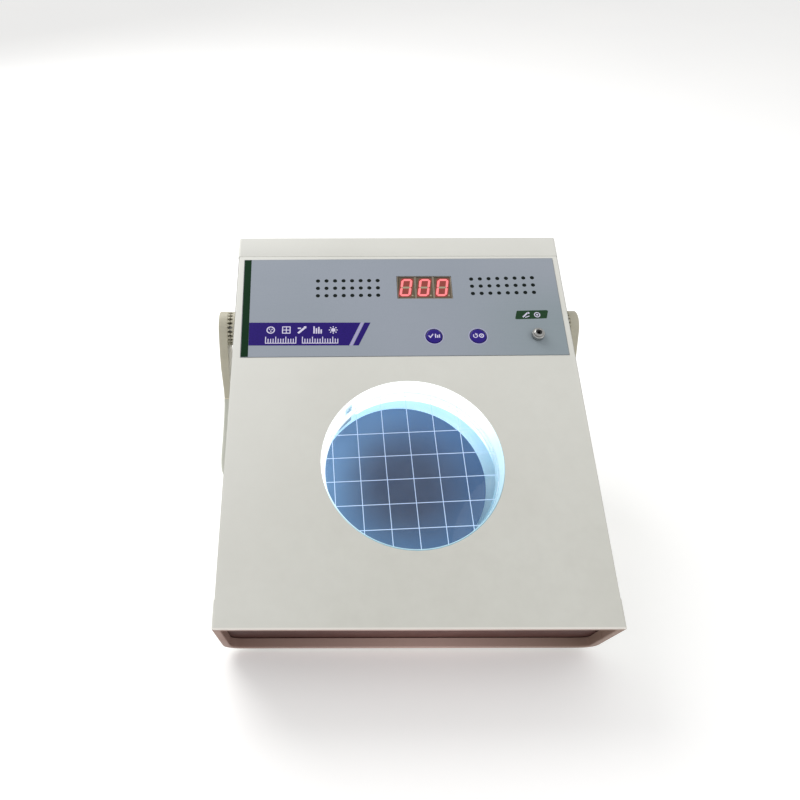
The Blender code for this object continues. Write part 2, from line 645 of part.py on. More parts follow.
def build_inlet():
    """Mains inlet: flange, body, three-pin mouth and two screws."""
    flange_face = REAR_SEAT_Y + 2.4
    inlet = box("mains_inlet", around(INLET_X, 25), (REAR_SEAT_Y, flange_face),
                around(REAR_Z, 11.3), mat=BLACK)
    add(inlet, box("inlet_body", around(INLET_X, 13.5), (254, REAR_OUT_Y + 1.5),
                   around(REAR_Z, 9.8), cutter=True))
    # (X, Z) from the inlet's centre
    mouth = [(-12, -8.2), (12, -8.2), (12, 3.5), (7.5, 8.2), (-7.5, 8.2), (-12, 3.5)]
    pins = [(-7.0, -2.0), (0.0, 3.0), (7.0, -2.0)]
    cut(inlet,
        along_y("inlet_mouth", [(INLET_X + x, REAR_Z + z) for x, z in mouth], 258, 280,
                cutter=True),
        *inlet_screw_holes("flange_hole", (268, 280)))
    for i, (x, z) in enumerate(pins, 1):
        add(inlet, box(f"inlet_pin_{i}", around(INLET_X + x, 1), (257, 271.5),
                       around(REAR_Z + z, 2), cutter=True))

    head_base = flange_face + GAP
    # (radius, Y), head to tip
    screw = [
        (0, 277.0), (1.8, 276.8), (2.8, head_base + 0.4), (2.8, head_base),
        (1.5, head_base), (1.5, 265), (0, 265),
    ]
    for side, sign in SIDES:
        lathe(f"inlet_screw_{side}", screw, mat=STEEL, seg=12, turn=TO_Y,
              at=(INLET_X + sign * INLET_SCREW_OFFSET, 0, REAR_Z))


def build_switch():
    """Power switch: housing and the rocker in its well."""
    housing = box("switch_housing", around(SWITCH_X, 7.8), (REAR_SEAT_Y, REAR_SEAT_Y + 1.8),
                  around(REAR_Z, 10.8), mat=BLACK)
    add(housing, box("switch_body", around(SWITCH_X, 6.5), (256, REAR_OUT_Y + 1.2),
                     around(REAR_Z, 9.5), cutter=True))
    cut(housing, box("switch_well", around(SWITCH_X, 5.4), (262, 280), around(REAR_Z, 8.2),
                     cutter=True))
    # (Y, Z) from the rocker's pivot
    rocker = [
        (3.6, -7.4), (3.6, -6.8), (2.1, 0), (3.6, 6.8), (3.6, 7.4),
        (-1.5, 7.2), (-5.0, 1.5), (-5.0, -1.5), (-1.5, -7.2),
    ]
    prism("power_rocker", rocker, 10.2, turn=IN_YZ, mat=BLACK, parent=rocker_pivot)


def build_fuse():
    at = (FUSE_X, 0, REAR_Z)
    rim, cap_base = REAR_OUT_Y + 1.8, REAR_OUT_Y + 2.1
    # (radius, Y)
    holder = [
        (0, 252), (4.6, 252), (4.6, rim), (8.0, rim),
        (8.0, REAR_SEAT_Y), (6.1, REAR_SEAT_Y), (6.1, 250), (0, 250),
    ]
    cap = [
        (0, 277.4), (5.6, 277.4), (6.2, 276.8), (6.2, cap_base),
        (4.3, cap_base), (4.3, 256), (0, 256),
    ]
    lathe("fuse_holder", holder, at=at, turn=TO_Y, mat=BLACK, seg=24)
    fuse_cap = lathe("fuse_cap", cap, at=at, turn=TO_Y, mat=BLACK, seg=24)
    cut(fuse_cap, box("cap_slot", around(FUSE_X, 4.6), (276.0, 279), around(REAR_Z, 0.7),
                      cutter=True))


def build_wiring():
    # (X, Y, Z), down from the board and over towards the transformer
    board_line = [
        (-20, 212, 47.6), (-20, 212, 45.6), (-26, 213, 44.2), (-40, 217, 43.6), (-60, 222, 43.4),
    ]
    # (radius, Z) out from the lamp socket, then (X, Y, Z) to the ballast
    lead_start = [(69.4, 37), (76, 37), (79, 34)]
    lead_run = [
        (-52, 164, 20), (-40, 176, 9), (-20, 188, 6), (0, 201, 7), (6, 204, 8), (12.6, 204, 8),
    ]
    lead = [(*about_window(radius, LAMP_GAP_ANGLE), z) for radius, z in lead_start] + lead_run
    tube("board_cable", board_line, 1.7, mat=CABLE_PVC, rings=1)
    tube("lamp_lead", lead, 1.5, mat=CABLE_PVC, rings=1)


# ---- handle --------------------------------------------------------------------------
def crown(name, x_base, x_root, x_crest, **kw):
    """Ring of radial teeth round the X axis: alternate spokes are high and low."""
    count = HUB_TEETH * 2
    bm = bmesh.new()
    rows = []
    for radius, toothed in ((TEETH_INNER, False), (TEETH_INNER, True),
                            (TEETH_OUTER, True), (TEETH_OUTER, False)):
        row = []
        for i in range(count):
            angle = 2 * math.pi * i / count
            x = (x_crest if i % 2 else x_root) if toothed else x_base
            y, z = radius * math.cos(angle), radius * math.sin(angle)
            row.append(bm.verts.new((x * MM, y * MM, z * MM)))
        rows.append(row)
    for here, there in zip(rows, rows[1:] + rows[:1]):
        for i in range(count):
            j = (i + 1) % count
            bm.faces.new((here[i], here[j], there[j]))
            bm.faces.new((here[i], there[j], there[i]))
    return place(from_bmesh(name, bm), cutter=True, **kw)


def outward(sign):
    """Turn that lays a turned piece's axis along X, away from the case's centre."""
    return (0, sign * math.pi / 2, 0)


def build_hub_boss(side, sign):
    collar_out = BODY_HALF - WALL - GAP      # just inside the side wall
    # (radius, distance from the case's centre)
    profile = [
        (PIVOT_BORE, BOSS_FACE), (HUB_RADIUS, BOSS_FACE), (HUB_RADIUS, BOSS_IN),
        (HUB_NECK_RADIUS, BOSS_IN), (HUB_NECK_RADIUS, collar_out), (13.0, collar_out),
        (13.0, 108.3), (PIVOT_BORE, 108.3),
    ]
    boss = lathe(f"hub_boss_{side}", profile, at=HUB_AT, turn=outward(sign), mat=HANDLE_ABS,
                 seg=24, closed=True)
    add(boss, crown(f"boss_teeth_{side}", sign * (BOSS_FACE - TOOTH_SINK),
                    sign * (BOSS_FACE + TOOTH_ROOT), sign * BOSS_CREST, at=HUB_AT))


def build_arm(side, sign):
    """Handle arm: its side outline crossed with its outline from above."""
    tool = {"parent": handle_pivot, "cutter": True}
    bore = {"start": sign * 120, "end": sign * ARM_CUT_X, "axis": "X", "seg": 16, **tool}
    # Degrees from the arm's direction at which the hub's arc begins and ends.
    hub_start = math.degrees(math.acos((HUB_RADIUS - ARM_HALF) / ARM_END))
    from_side = arc(0, 0, HUB_RADIUS, hub_start, 360 - hub_start, 17)
    from_side += [(ARM_END, -ARM_HALF), (ARM_END, ARM_HALF)]
    # (distance from the case's centre, distance along the arm)
    from_above = [
        (ARM_OUT, -14), (ARM_OUT, 18), (128.1, 27), (127.5, 36), (127.0, 43),
        (126.7, ARM_END + 1), (122.6, ARM_END + 1), (ARM_ROOT, 34), (ARM_ROOT, -14),
    ]
    if sign < 0:
        from_above = [(-x, y) for x, y in reversed(from_above)]

    arm = prism(f"handle_arm_{side}", from_side, 40, at=(sign * ARM_MID_X, 0, 0), turn=IN_YZ,
                mat=HANDLE_ABS, parent=handle_pivot)
    boolean(arm, "INTERSECT", [prism(f"arm_thickness_{side}", from_above, 40, **tool)])
    add(arm,
        crown(f"arm_teeth_{side}", sign * (ARM_ROOT + TOOTH_SINK),
              sign * (ARM_ROOT - TOOTH_ROOT), sign * ARM_CREST, parent=handle_pivot),
        box(f"tongue_{side}", side_span(sign, TONGUE_IN, TONGUE_OUT),
            (ARM_END - 2, ARM_END + 10), around(0, TONGUE_HALF), **tool))
    cut(arm,
        rod(f"arm_bore_{side}", PIVOT_BORE, **bore),
        rod(f"arm_counterbore_{side}", 6.5, **{**bore, "start": sign * 124.0}),
        rod(f"cap_seat_{side}", 8.0, **{**bore, "start": sign * 126.8, "seg": 24}))


def build_pivot_hardware(side, sign):
    """Cap, screw and nut on the handle's pivot axis."""
    # (radius, distance from the case's centre)
    cap = [(0, 128.8), (6.9, 128.5), (7.7, 127.8), (7.7, 127.1), (0, 127.1)]
    screw = [
        (0, 126.8), (4.2, 126.8), (5.0, 126.0), (5.0, 124.3), (2.5, 124.3), (2.5, 93.5), (0, 93.5),
    ]
    nut = [(3.3, 97.5), (5.2, 97.5), (5.2, 94.3), (3.3, 94.3)]
    shared = {"turn": outward(sign), "parent": handle_pivot}
    lathe(f"hub_cap_{side}", cap, mat=HANDLE_ABS, seg=24, **shared)
    lathe(f"pivot_screw_{side}", screw, mat=STEEL, seg=16, **shared)
    lathe(f"pivot_nut_{side}", nut, mat=STEEL, seg=6, closed=True, **shared)


def build_spring(side, sign):
    """Coil spring round the pivot screw."""
    start, length, radius, wire_radius = 98.6, 8.6, 4.4, 0.6
    turns, steps = 3.5, 10       # steps are per turn
    count = int(turns * steps)
    coil = []
    for i in range(count + 1):
        angle = 2 * math.pi * i / steps
        coil.append((sign * (start + length * i / count),
                     radius * math.cos(angle), radius * math.sin(angle)))
    tube(f"detent_spring_{side}", coil, wire_radius, at=HUB_AT, mat=STEEL, rings=0)


def grip_section(y):
    """(across the bar, Z) points of the grip's rounded section at a distance from the hub."""
    blend = min(1.0, max(0.0, (y - BLEND_START) / BLEND_LENGTH))
    blend = blend * blend * (3 - 2 * blend)
    thick = SLIM_THICK + (GRIP_THICK - SLIM_THICK) * blend
    width = SLIM_WIDTH + (GRIP_WIDTH - SLIM_WIDTH) * blend
    corner = SLIM_ROUND + (GRIP_ROUND - SLIM_ROUND) * blend
    points = []
    for across, up, start in ((1, 1, 0), (-1, 1, 90), (-1, -1, 180), (1, -1, 270)):
        points += arc(across * (thick / 2 - corner), up * (width / 2 - corner), corner,
                      start, start + 90, 3)
    return points


def build_grip():
    """Lofted bar, slim at the arms and full across the back."""
    # Centre line of the right leg: (X, distance from the hub).
    leg = [(124.3, ARM_END + GAP), (124.5, 57), (125.2, 67), (125.5, 78), (126.0, 89), (126.7, 97)]
    leg += arc(GRIP_BEND_X, GRIP_Y - GRIP_BEND, GRIP_BEND, 0, 90, 6)
    path = leg + [(-x, y) for x, y in reversed(leg)]
    bm = bmesh.new()
    rows = []
    for i, (x, y) in enumerate(path):
        before, after = path[max(i - 1, 0)], path[min(i + 1, len(path) - 1)]
        along = Vector((after[0] - before[0], after[1] - before[1], 0.0)).normalized()
        normal = Vector((along.y, -along.x, 0.0))
        rows.append([
            bm.verts.new((Vector((x, y, 0.0)) + normal * across + Vector((0, 0, up))) * MM)
            for across, up in grip_section(y)
        ])
    for here, there in zip(rows, rows[1:]):
        for i in range(len(here)):
            j = (i + 1) % len(here)
            bm.faces.new((here[i], here[j], there[j], there[i]))
    bm.faces.new(rows[0])
    bm.faces.new(rows[-1])
    grip = place(from_bmesh("handle_grip", bm), mat=HANDLE_ABS, parent=handle_pivot)
    for side, sign in SIDES:
        cut(grip, box(f"tongue_slot_{side}", side_span(sign, TONGUE_IN - GAP, TONGUE_OUT + GAP),
                      (ARM_END - 1, ARM_END + 10.4), around(0, TONGUE_HALF + GAP),
                      parent=handle_pivot, cutter=True))


# ---- build ---------------------------------------------------------------------------
shared_cutters = shell_cutters()
label_openings = top_openings()
build_upper_case(shared_cutters, label_openings)
build_lower_case(shared_cutters)
build_end_panels()
build_label(label_openings)
build_feet()
build_case_screws()

build_board()
build_board_parts()
build_buttons()
build_jack()

build_window()
build_reflector()
build_lamp()

build_transformer()
build_ballast()
build_inlet()
build_switch()
build_fuse()
build_wiring()

for side_name, side_sign in SIDES:
    build_hub_boss(side_name, side_sign)
    build_arm(side_name, side_sign)
    build_pivot_hardware(side_name, side_sign)
    build_spring(side_name, side_sign)
build_grip()
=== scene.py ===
"""Looks for the bench-top colony counter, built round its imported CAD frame.

The counter is a shallow box on four feet, with a round lit window in its top, a label with
keys and digits behind the window, and a carrying handle swung on a hub at each side.
Shapes are drawn square to the case in millimetres (X right, Y front to rear, Z up from the
case's bottom face). One matrix, found from the frame's joints, carries them into the frame.
"""

import json
import math

import bmesh
import bpy
import numpy as np
from mathutils import Euler, Matrix, Vector


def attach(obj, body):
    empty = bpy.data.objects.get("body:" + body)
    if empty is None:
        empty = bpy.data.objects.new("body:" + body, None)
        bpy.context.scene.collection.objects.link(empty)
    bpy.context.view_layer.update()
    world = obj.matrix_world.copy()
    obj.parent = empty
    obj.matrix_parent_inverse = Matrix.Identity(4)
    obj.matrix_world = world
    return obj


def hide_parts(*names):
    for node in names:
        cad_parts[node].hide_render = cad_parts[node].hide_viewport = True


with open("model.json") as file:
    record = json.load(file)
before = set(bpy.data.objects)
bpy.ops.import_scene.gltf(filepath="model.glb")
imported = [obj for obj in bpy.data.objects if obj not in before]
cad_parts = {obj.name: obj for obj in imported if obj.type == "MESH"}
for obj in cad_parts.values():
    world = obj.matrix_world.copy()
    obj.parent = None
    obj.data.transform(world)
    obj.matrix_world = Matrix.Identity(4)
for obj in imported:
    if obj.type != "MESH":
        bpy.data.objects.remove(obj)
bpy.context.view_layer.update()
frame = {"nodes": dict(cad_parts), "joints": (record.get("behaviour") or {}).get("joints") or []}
NODES = frame["nodes"]
JOINTS = {joint["name"]: joint for joint in frame["joints"]}

# ---- driving places and sizes ----------------------------------------------------------
MM = 0.001                       # metres in a millimetre
CASE_DEPTH = 278.0
MID_Z = 30.0                     # height of the hubs and the rear fittings
HUB = Vector((0.0, 218.7, MID_Z))
HUB_AT = Vector(JOINTS["handle_swing"]["pos_m"])
WINDOW_AT = (1.8, 101.0)
BORE = 56.7                      # radius of the case's opening for the window
LABEL_TOP = 60.2
REAR = 272.2                     # depth of the rear panel's outer face
INLET_X, FUSE_X, ROCKER_X = 60.0, -20.0, 15.0
KEYS = {"test": (21.2, 192.1), "reset": (51.0, 192.1)}
JACK = (91.1, 192.5)
DIGITS_AT, DIGIT_PITCH = (17.25, 233.0), 12.7
SIDES = (("left", -1), ("right", 1))

# ---- where things sit in the frame -----------------------------------------------------
push = JOINTS["test_press"]["axis"]
LEAN = math.atan2(push[1], -push[2])
CASE = (Matrix.Translation(HUB_AT) @ Matrix.Rotation(LEAN, 4, "X") @ Matrix.Scale(MM, 4)
        @ Matrix.Translation(-HUB))
QUARTER = math.pi / 2
TO_X, TO_NEG_X, TO_Y = (0, QUARTER, 0), (0, -QUARTER, 0), (-QUARTER, 0, 0)
STOOD = (QUARTER, 0, QUARTER)    # stands an outline up as (Y, Z), facing +X


def place(x=0.0, y=0.0, z=0.0, turn=(0, 0, 0)):
    return Matrix.Translation((x, y, z)) @ Euler(turn).to_matrix().to_4x4()


def at(x, y, z=0.0, turn=(0, 0, 0)):
    return CASE @ place(x, y, z, turn)


HANDLE = CASE @ Matrix.Translation(HUB) @ Matrix.Rotation(math.radians(225.0), 4, "X")
ROCKER = at(ROCKER_X, 272.4, MID_Z) @ Matrix.Rotation(math.radians(-10.0), 4, "X")
WINDOW = at(*WINDOW_AT)


# ---- outlines --------------------------------------------------------------------------
def arc(x, y, radius, start, end, count):
    """Points along an arc, its angles in degrees."""
    return [(x + radius * math.cos(math.radians(a)), y + radius * math.sin(math.radians(a)))
            for a in np.linspace(start, end, count)]


def circle(x, y, radius, count=40):
    return arc(x, y, radius, 0, 360 - 360 / count, count)


def rect(x0, y0, x1, y1, r=0.0, count=4):
    """Rectangle with corners of radius r, each drawn with count points."""
    if r <= 0:
        return [(x0, y0), (x1, y0), (x1, y1), (x0, y1)]
    return (arc(x1 - r, y1 - r, r, 0, 90, count) + arc(x0 + r, y1 - r, r, 90, 180, count)
            + arc(x0 + r, y0 + r, r, 180, 270, count) + arc(x1 - r, y0 + r, r, 270, 360, count))


def around(x, y, half_x, half_y, r=0.0, count=4):
    """Rectangle about its centre."""
    return rect(x - half_x, y - half_y, x + half_x, y + half_y, r, count)


def stroke(points, width):
    """Outline of a line of the given width, with square ends."""
    points = [Vector(point) for point in points]
    left, right = [], []
    for i, point in enumerate(points):
        before = (point - points[i - 1]).normalized() if i else None
        after = (points[i + 1] - point).normalized() if i < len(points) - 1 else None
        along = (before + after).normalized() if before and after else (before or after)
        mitre = 1.0 / max(0.35, along.dot(before)) if before else 1.0
        side = Vector((-along.y, along.x)) * (width / 2 * mitre)
        left.append(tuple(point + side))
        right.append(tuple(point - side))
    return left + right[::-1]


def rounded(rows, steps=4, closed=False, radius=0.0):
    """A line through (x, y, corner radius) rows; a row of two takes the common radius."""
    points = [Vector(row[:2]) for row in rows]
    out = []
    for i, (row, point) in enumerate(zip(rows, points)):
        r = row[2] if len(row) > 2 else radius
        if r <= 0 or (not closed and i in (0, len(points) - 1)):
            out.append(tuple(point))
            continue
        back, on = points[i - 1] - point, points[(i + 1) % len(points)] - point
        shortest = min(back.length, on.length)
        back.normalize()
        on.normalize()
        half = math.acos(max(-1.0, min(1.0, back.dot(on)))) / 2
        if half > 1.55 or half < 0.02:       # nearly straight, or folded back
            out.append(tuple(point))
            continue
        cut = min(r / math.tan(half), shortest * 0.49)
        r = cut * math.tan(half)
        centre = point + (back + on).normalized() * (r / math.sin(half))
        start, end = point + back * cut - centre, point + on * cut - centre
        angle = math.atan2(start.y, start.x)
        sweep = (math.atan2(end.y, end.x) - angle + math.pi) % (2 * math.pi) - math.pi
        for k in range(steps + 1):
            t = angle + sweep * k / steps
            out.append((centre.x + r * math.cos(t), centre.y + r * math.sin(t)))
    return out


# ---- solids ----------------------------------------------------------------------------
def linked(name, data):
    obj = bpy.data.objects.new(name, data)
    bpy.context.scene.collection.objects.link(obj)
    return obj


def as_mesh(name, bm):
    mesh = bpy.data.meshes.new(name)
    bm.to_mesh(mesh)
    bm.free()
    return mesh


def evaluated(obj):
    """The object's finished shape as a new bmesh."""
    bpy.context.view_layer.update()
    graph = bpy.context.evaluated_depsgraph_get()
    mesh = bpy.data.meshes.new_from_object(obj.evaluated_get(graph))
    bm = bmesh.new()
    bm.from_mesh(mesh)
    bpy.data.meshes.remove(mesh)
    return bm


def tidied(bm, dist):
    """Welds close vertices and makes flat faces whole."""
    bmesh.ops.remove_doubles(bm, verts=bm.verts, dist=dist)
    bmesh.ops.dissolve_limit(bm, angle_limit=math.radians(0.6), verts=bm.verts, edges=bm.edges)
    return bm


def turned(profile, sides=96):
    """Solid of revolution about Z from (radius, height): on the axis at both ends, or closed."""
    bm = bmesh.new()
    rings = []
    for r, z in profile:
        if r < 1e-6:
            rings.append([bm.verts.new((0, 0, z))])
        else:
            angles = (2 * math.pi * k / sides for k in range(sides))
            rings.append([bm.verts.new((r * math.cos(a), r * math.sin(a), z)) for a in angles])
    pairs = list(zip(rings, rings[1:]))
    if profile[0][0] > 1e-6:
        pairs.append((rings[-1], rings[0]))
    for a, b in pairs:
        for k in range(sides):
            j = (k + 1) % sides
            corners = [a[k % len(a)], a[j % len(a)], b[j % len(b)], b[k % len(b)]]
            face = list(dict.fromkeys(corners))
            if len(face) > 2:
                bm.faces.new(face)
    return bm


def skinned(rings, looped=False):
    """Skin over rings of points: joined end to end if looped, otherwise capped."""
    bm = bmesh.new()
    rows = [[bm.verts.new(point) for point in ring] for ring in rings]
    for a, b in zip(rows, rows[1:] + (rows[:1] if looped else [])):
        for i in range(len(a)):
            j = (i + 1) % len(a)
            bm.faces.new((a[i], a[j], b[j], b[i]))
    if not looped:
        bm.faces.new(rows[0])
        bm.faces.new(rows[-1])
    return bm


def flat(outlines, low, high):
    """Plate between two heights; an outline inside another is a hole in it."""
    data = bpy.data.curves.new("outline", "CURVE")
    data.dimensions = "2D"
    data.fill_mode = "BOTH"
    data.extrude = (high - low) / 2
    for points in outlines:
        line = data.splines.new("POLY")
        line.points.add(len(points) - 1)
        for point, (x, y) in zip(line.points, points):
            point.co = (x, y, 0.0, 1.0)
        line.use_cyclic_u = True
    obj = linked("outline", data)
    bm = evaluated(obj)
    bpy.data.objects.remove(obj)
    bpy.data.curves.remove(data)
    bmesh.ops.remove_doubles(bm, verts=bm.verts, dist=0.002)
    bmesh.ops.translate(bm, verts=bm.verts, vec=(0, 0, (low + high) / 2))
    return bm


def block(low, high):
    bm = bmesh.new()
    bmesh.ops.create_cube(bm, size=1.0)
    low, high = Vector(low), Vector(high)
    bmesh.ops.scale(bm, vec=high - low, verts=bm.verts)
    bmesh.ops.translate(bm, vec=(low + high) / 2, verts=bm.verts)
    return bm


def moved(bm, matrix):
    bmesh.ops.transform(bm, matrix=matrix, verts=bm.verts)
    return bm


def spun(bm, x=0.0, y=0.0, z=0.0, turn=(0, 0, 0)):
    return moved(bm, place(x, y, z, turn))


def joined(*shapes):
    """Several closed shapes as one."""
    out = bmesh.new()
    for shape in shapes:
        mesh = as_mesh("join", shape)
        out.from_mesh(mesh)
        bpy.data.meshes.remove(mesh)
    return out


def carved(base, *tools, op="DIFFERENCE"):
    """base with each tool cut from it, or combined with it as op says."""
    made = []
    for k, bm in enumerate((base, *tools)):
        bmesh.ops.recalc_face_normals(bm, faces=bm.faces)
        made.append(linked(f"carve_{k}", as_mesh(f"carve_{k}", bm)))
    for tool in made[1:]:
        modifier = made[0].modifiers.new(tool.name, "BOOLEAN")
        modifier.operation = op
        modifier.solver = "EXACT"
        modifier.object = tool
    out = evaluated(made[0])
    for obj in made:
        mesh = obj.data
        bpy.data.objects.remove(obj)
        bpy.data.meshes.remove(mesh)
    return tidied(out, dist=0.0008)


def of_node(name):
    """A CAD node's own solid as case-square millimetres."""
    bm = bmesh.new()
    bm.from_mesh(NODES[name].data)
    return tidied(moved(bm, CASE.inverted()), dist=0.002)


MATERIALS = {}


def piece(name, bm, material, slot, replaces=None, body="case", space=CASE, edge=0.0, steps=2,
          limit=32.0, width=None):
    """A finished piece riding on a body.

    edge rounds every edge sharper than limit degrees; width gives each its own radius
    from its middle. Both are in millimetres.
    """
    bmesh.ops.recalc_face_normals(bm, faces=bm.faces)
    bm.normal_update()
    if width:
        weights = bm.edges.layers.float
        layer = weights.get("bevel_weight_edge") or weights.new("bevel_weight_edge")
        for e in bm.edges:
            if len(e.link_faces) == 2 and e.calc_face_angle(0.0) > math.radians(limit):
                e[layer] = width((e.verts[0].co + e.verts[1].co) / 2)
    mesh = as_mesh(name, bm)
    mesh.transform(space)
    obj = linked(name, mesh)
    mesh.materials.append(MATERIALS[material])
    mesh.shade_smooth()
    mesh.set_sharp_from_angle(angle=math.radians(limit))
    if edge or width:
        bevel = obj.modifiers.new("edges", "BEVEL")
        bevel.width = MM if width else edge * MM
        bevel.limit_method = "WEIGHT" if width else "ANGLE"
        bevel.angle_limit = math.radians(limit)
        bevel.segments = steps
        bevel.use_clamp_overlap = not width
        bevel.harden_normals = True
        bevel.miter_outer = "MITER_ARC"
    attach(obj, body)
    if replaces:
        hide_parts(replaces)


# ---- material kit ----------------------------------------------------------------------
FALL = (1.0, 0.0)                # output of a ramp that fades out


def srgb(*levels):
    """Linear colour from three 0-255 levels."""
    return tuple(((c / 255) / 12.92) if c / 255 <= 0.04045 else ((c / 255 + 0.055) / 1.055) ** 2.4
                 for c in levels)


def scaled(colour, factor):
    return tuple(c * factor for c in colour)


class Finish:
    """A material with its nodes, and case-square millimetres to drive its patterns."""

    def __init__(self, name):
        material = MATERIALS[name] = bpy.data.materials.new(name)
        material.use_nodes = True
        self.nodes, self.link = material.node_tree.nodes, material.node_tree.links.new
        self.nodes.clear()
        self.out = self.node("OutputMaterial")
        self.surface = self.node("BsdfPrincipled")
        self.link(self.surface.outputs[0], self.out.inputs[0])
        self.normal = None
        coords = self.node("TexCoord")
        to_mm = self.node("Mapping")
        back = Matrix.Rotation(-LEAN, 3, "X")
        to_mm.inputs["Location"].default_value = HUB - 1000 * (back @ HUB_AT)
        to_mm.inputs["Rotation"].default_value = (-LEAN, 0, 0)
        to_mm.inputs["Scale"].default_value = (1000, 1000, 1000)
        self.link(coords.outputs["Object"], to_mm.inputs["Vector"])
        self.mm = to_mm.outputs[0]

    def node(self, kind):
        return self.nodes.new("ShaderNode" + kind)

    def feed(self, socket, value):
        """Links another node's output to the socket, or sets a plain value."""
        if hasattr(value, "is_linked"):
            self.link(value, socket)
        elif isinstance(value, tuple) and socket.type == "RGBA" and len(value) == 3:
            socket.default_value = (*value, 1.0)
        else:
            socket.default_value = value

    def set(self, **values):
        for key, value in values.items():
            self.feed(self.surface.inputs[key.replace("_", " ")], value)

    def vector(self, operation, a, b=(0, 0, 0)):
        node = self.node("VectorMath")
        node.operation = operation
        self.feed(node.inputs[0], a)
        self.feed(node.inputs[1], b)
        return node.outputs["Value" if operation == "LENGTH" else 0]

    def noise(self, scale, detail=3.0, rough=0.5, stretch=None):
        node = self.node("TexNoise")
        node.inputs["Scale"].default_value = scale
        node.inputs["Detail"].default_value = detail
        node.inputs["Roughness"].default_value = rough
        vector = self.vector("MULTIPLY", self.mm, stretch) if stretch else self.mm
        self.link(vector, node.inputs["Vector"])
        return node.outputs["Fac"]

    def cloud(self, scale):
        return self.noise(scale, detail=4, rough=0.6)

    def cells(self, scale, feature="F1"):
        node = self.node("TexVoronoi")
        node.feature = feature
        node.inputs["Scale"].default_value = scale
        self.link(self.mm, node.inputs["Vector"])
        return node.outputs["Distance"]

    def ramp(self, value, span=(0.3, 0.7), to=(0.0, 1.0), smooth=False):
        """Carries span to another range, clamped at both ends."""
        node = self.node("MapRange")
        if smooth:
            node.interpolation_type = "SMOOTHSTEP"
        node.clamp = True
        self.feed(node.inputs["Value"], value)
        for key, end in zip(("From Min", "From Max", "To Min", "To Max"), (*span, *to)):
            node.inputs[key].default_value = end
        return node.outputs["Result"]

    def mix(self, factor, a, b):
        """Colour a, going to b as the factor goes to 1."""
        node = self.node("Mix")
        node.data_type = "RGBA"
        node.clamp_factor = True
        self.feed(node.inputs[0], factor)
        self.feed(node.inputs[6], a)
        self.feed(node.inputs[7], b)
        return node.outputs[2]

    def math(self, operation, a, b=0.0):
        node = self.node("Math")
        node.operation = operation
        self.feed(node.inputs[0], a)
        self.feed(node.inputs[1], b)
        return node.outputs[0]

    def add(self, a, b):
        return self.math("ADD", a, b)

    def times(self, a, b):
        return self.math("MULTIPLY", a, b)

    def axis(self, k):
        node = self.node("SeparateXYZ")
        self.link(self.mm, node.inputs[0])
        return node.outputs[k]

    def from_point(self, point):
        """Distance in millimetres from a case-square point, all axes weighted alike."""
        offset = self.vector("SUBTRACT", self.mm, point)
        return self.vector("LENGTH", self.vector("MULTIPLY", offset, (1, 1, 1)))

    def towards(self, degrees, centre=WINDOW_AT):
        """Cosine of the angle between the bearing given and a point's own from the centre."""
        dx = self.math("SUBTRACT", self.axis(0), centre[0])
        dy = self.math("SUBTRACT", self.axis(1), centre[1])
        angle = math.radians(degrees)
        along = self.add(self.times(dx, math.cos(angle)), self.times(dy, math.sin(angle)))
        far = self.math("POWER", self.add(self.times(dx, dx), self.times(dy, dy)), 0.5)
        return self.math("DIVIDE", along, self.math("MAXIMUM", far, 1.0))

    def bump(self, height, depth, strength):
        """Adds relief, depth in millimetres, over any already there."""
        node = self.node("Bump")
        node.inputs["Distance"].default_value = depth * MM
        node.inputs["Strength"].default_value = strength
        self.link(height, node.inputs["Height"])
        if self.normal:
            self.link(self.normal, node.inputs["Normal"])
        self.normal = node.outputs[0]
        self.link(self.normal, self.surface.inputs["Normal"])

    def crevice(self):
        node = self.node("AmbientOcclusion")
        node.samples = 6
        node.only_local = True
        node.inputs["Distance"].default_value = 4.0 * MM
        return node.outputs["AO"]


# ---- plastics --------------------------------------------------------------------------
def moulded(name, base, shade, rough, grain, depth, blotch, corner_darkening, specks=0.0, coat=0.0,
            spec=0.45, tint=None):
    """Moulded plastic: spark texture, colour drift, handling marks, darkening in its corners from
    an ambient-occlusion mask.
    """
    mat = Finish(name)
    slow = mat.ramp(mat.noise(0.016, detail=3, rough=0.55), (0.32, 0.68))
    cloud = mat.ramp(mat.cloud(0.11), (0.35, 0.7))
    colour = mat.mix(mat.times(slow, blotch), base, shade)
    colour = mat.mix(mat.times(cloud, blotch * 0.4), colour, scaled(shade, 0.9))
    if specks:
        spots = mat.ramp(mat.noise(2.6, detail=2, rough=0.4), (0.70, 0.76))
        colour = mat.mix(mat.times(spots, specks), colour, scaled(shade, 0.55))
    if corner_darkening:
        corners = mat.ramp(mat.crevice(), (0.25, 0.85), to=(corner_darkening, 0.0))
        colour = mat.mix(corners, colour, scaled(shade, 0.62))
    if tint:
        colour = tint(mat, colour)
    fine = mat.noise(grain, detail=4, rough=0.62)
    pits = mat.cells(grain * 0.9)
    rub = mat.ramp(mat.noise(0.05, detail=5, rough=0.65), (0.35, 0.65))
    mat.set(Base_Color=colour, Specular_IOR_Level=spec, Coat_Weight=coat, Coat_Roughness=0.25,
            Roughness=mat.add(mat.times(rub, 0.12),
                              mat.ramp(fine, to=(rough - 0.08, rough + 0.05))))
    mat.bump(fine, depth=depth, strength=0.5)
    mat.bump(pits, depth=depth * 0.7, strength=0.35)


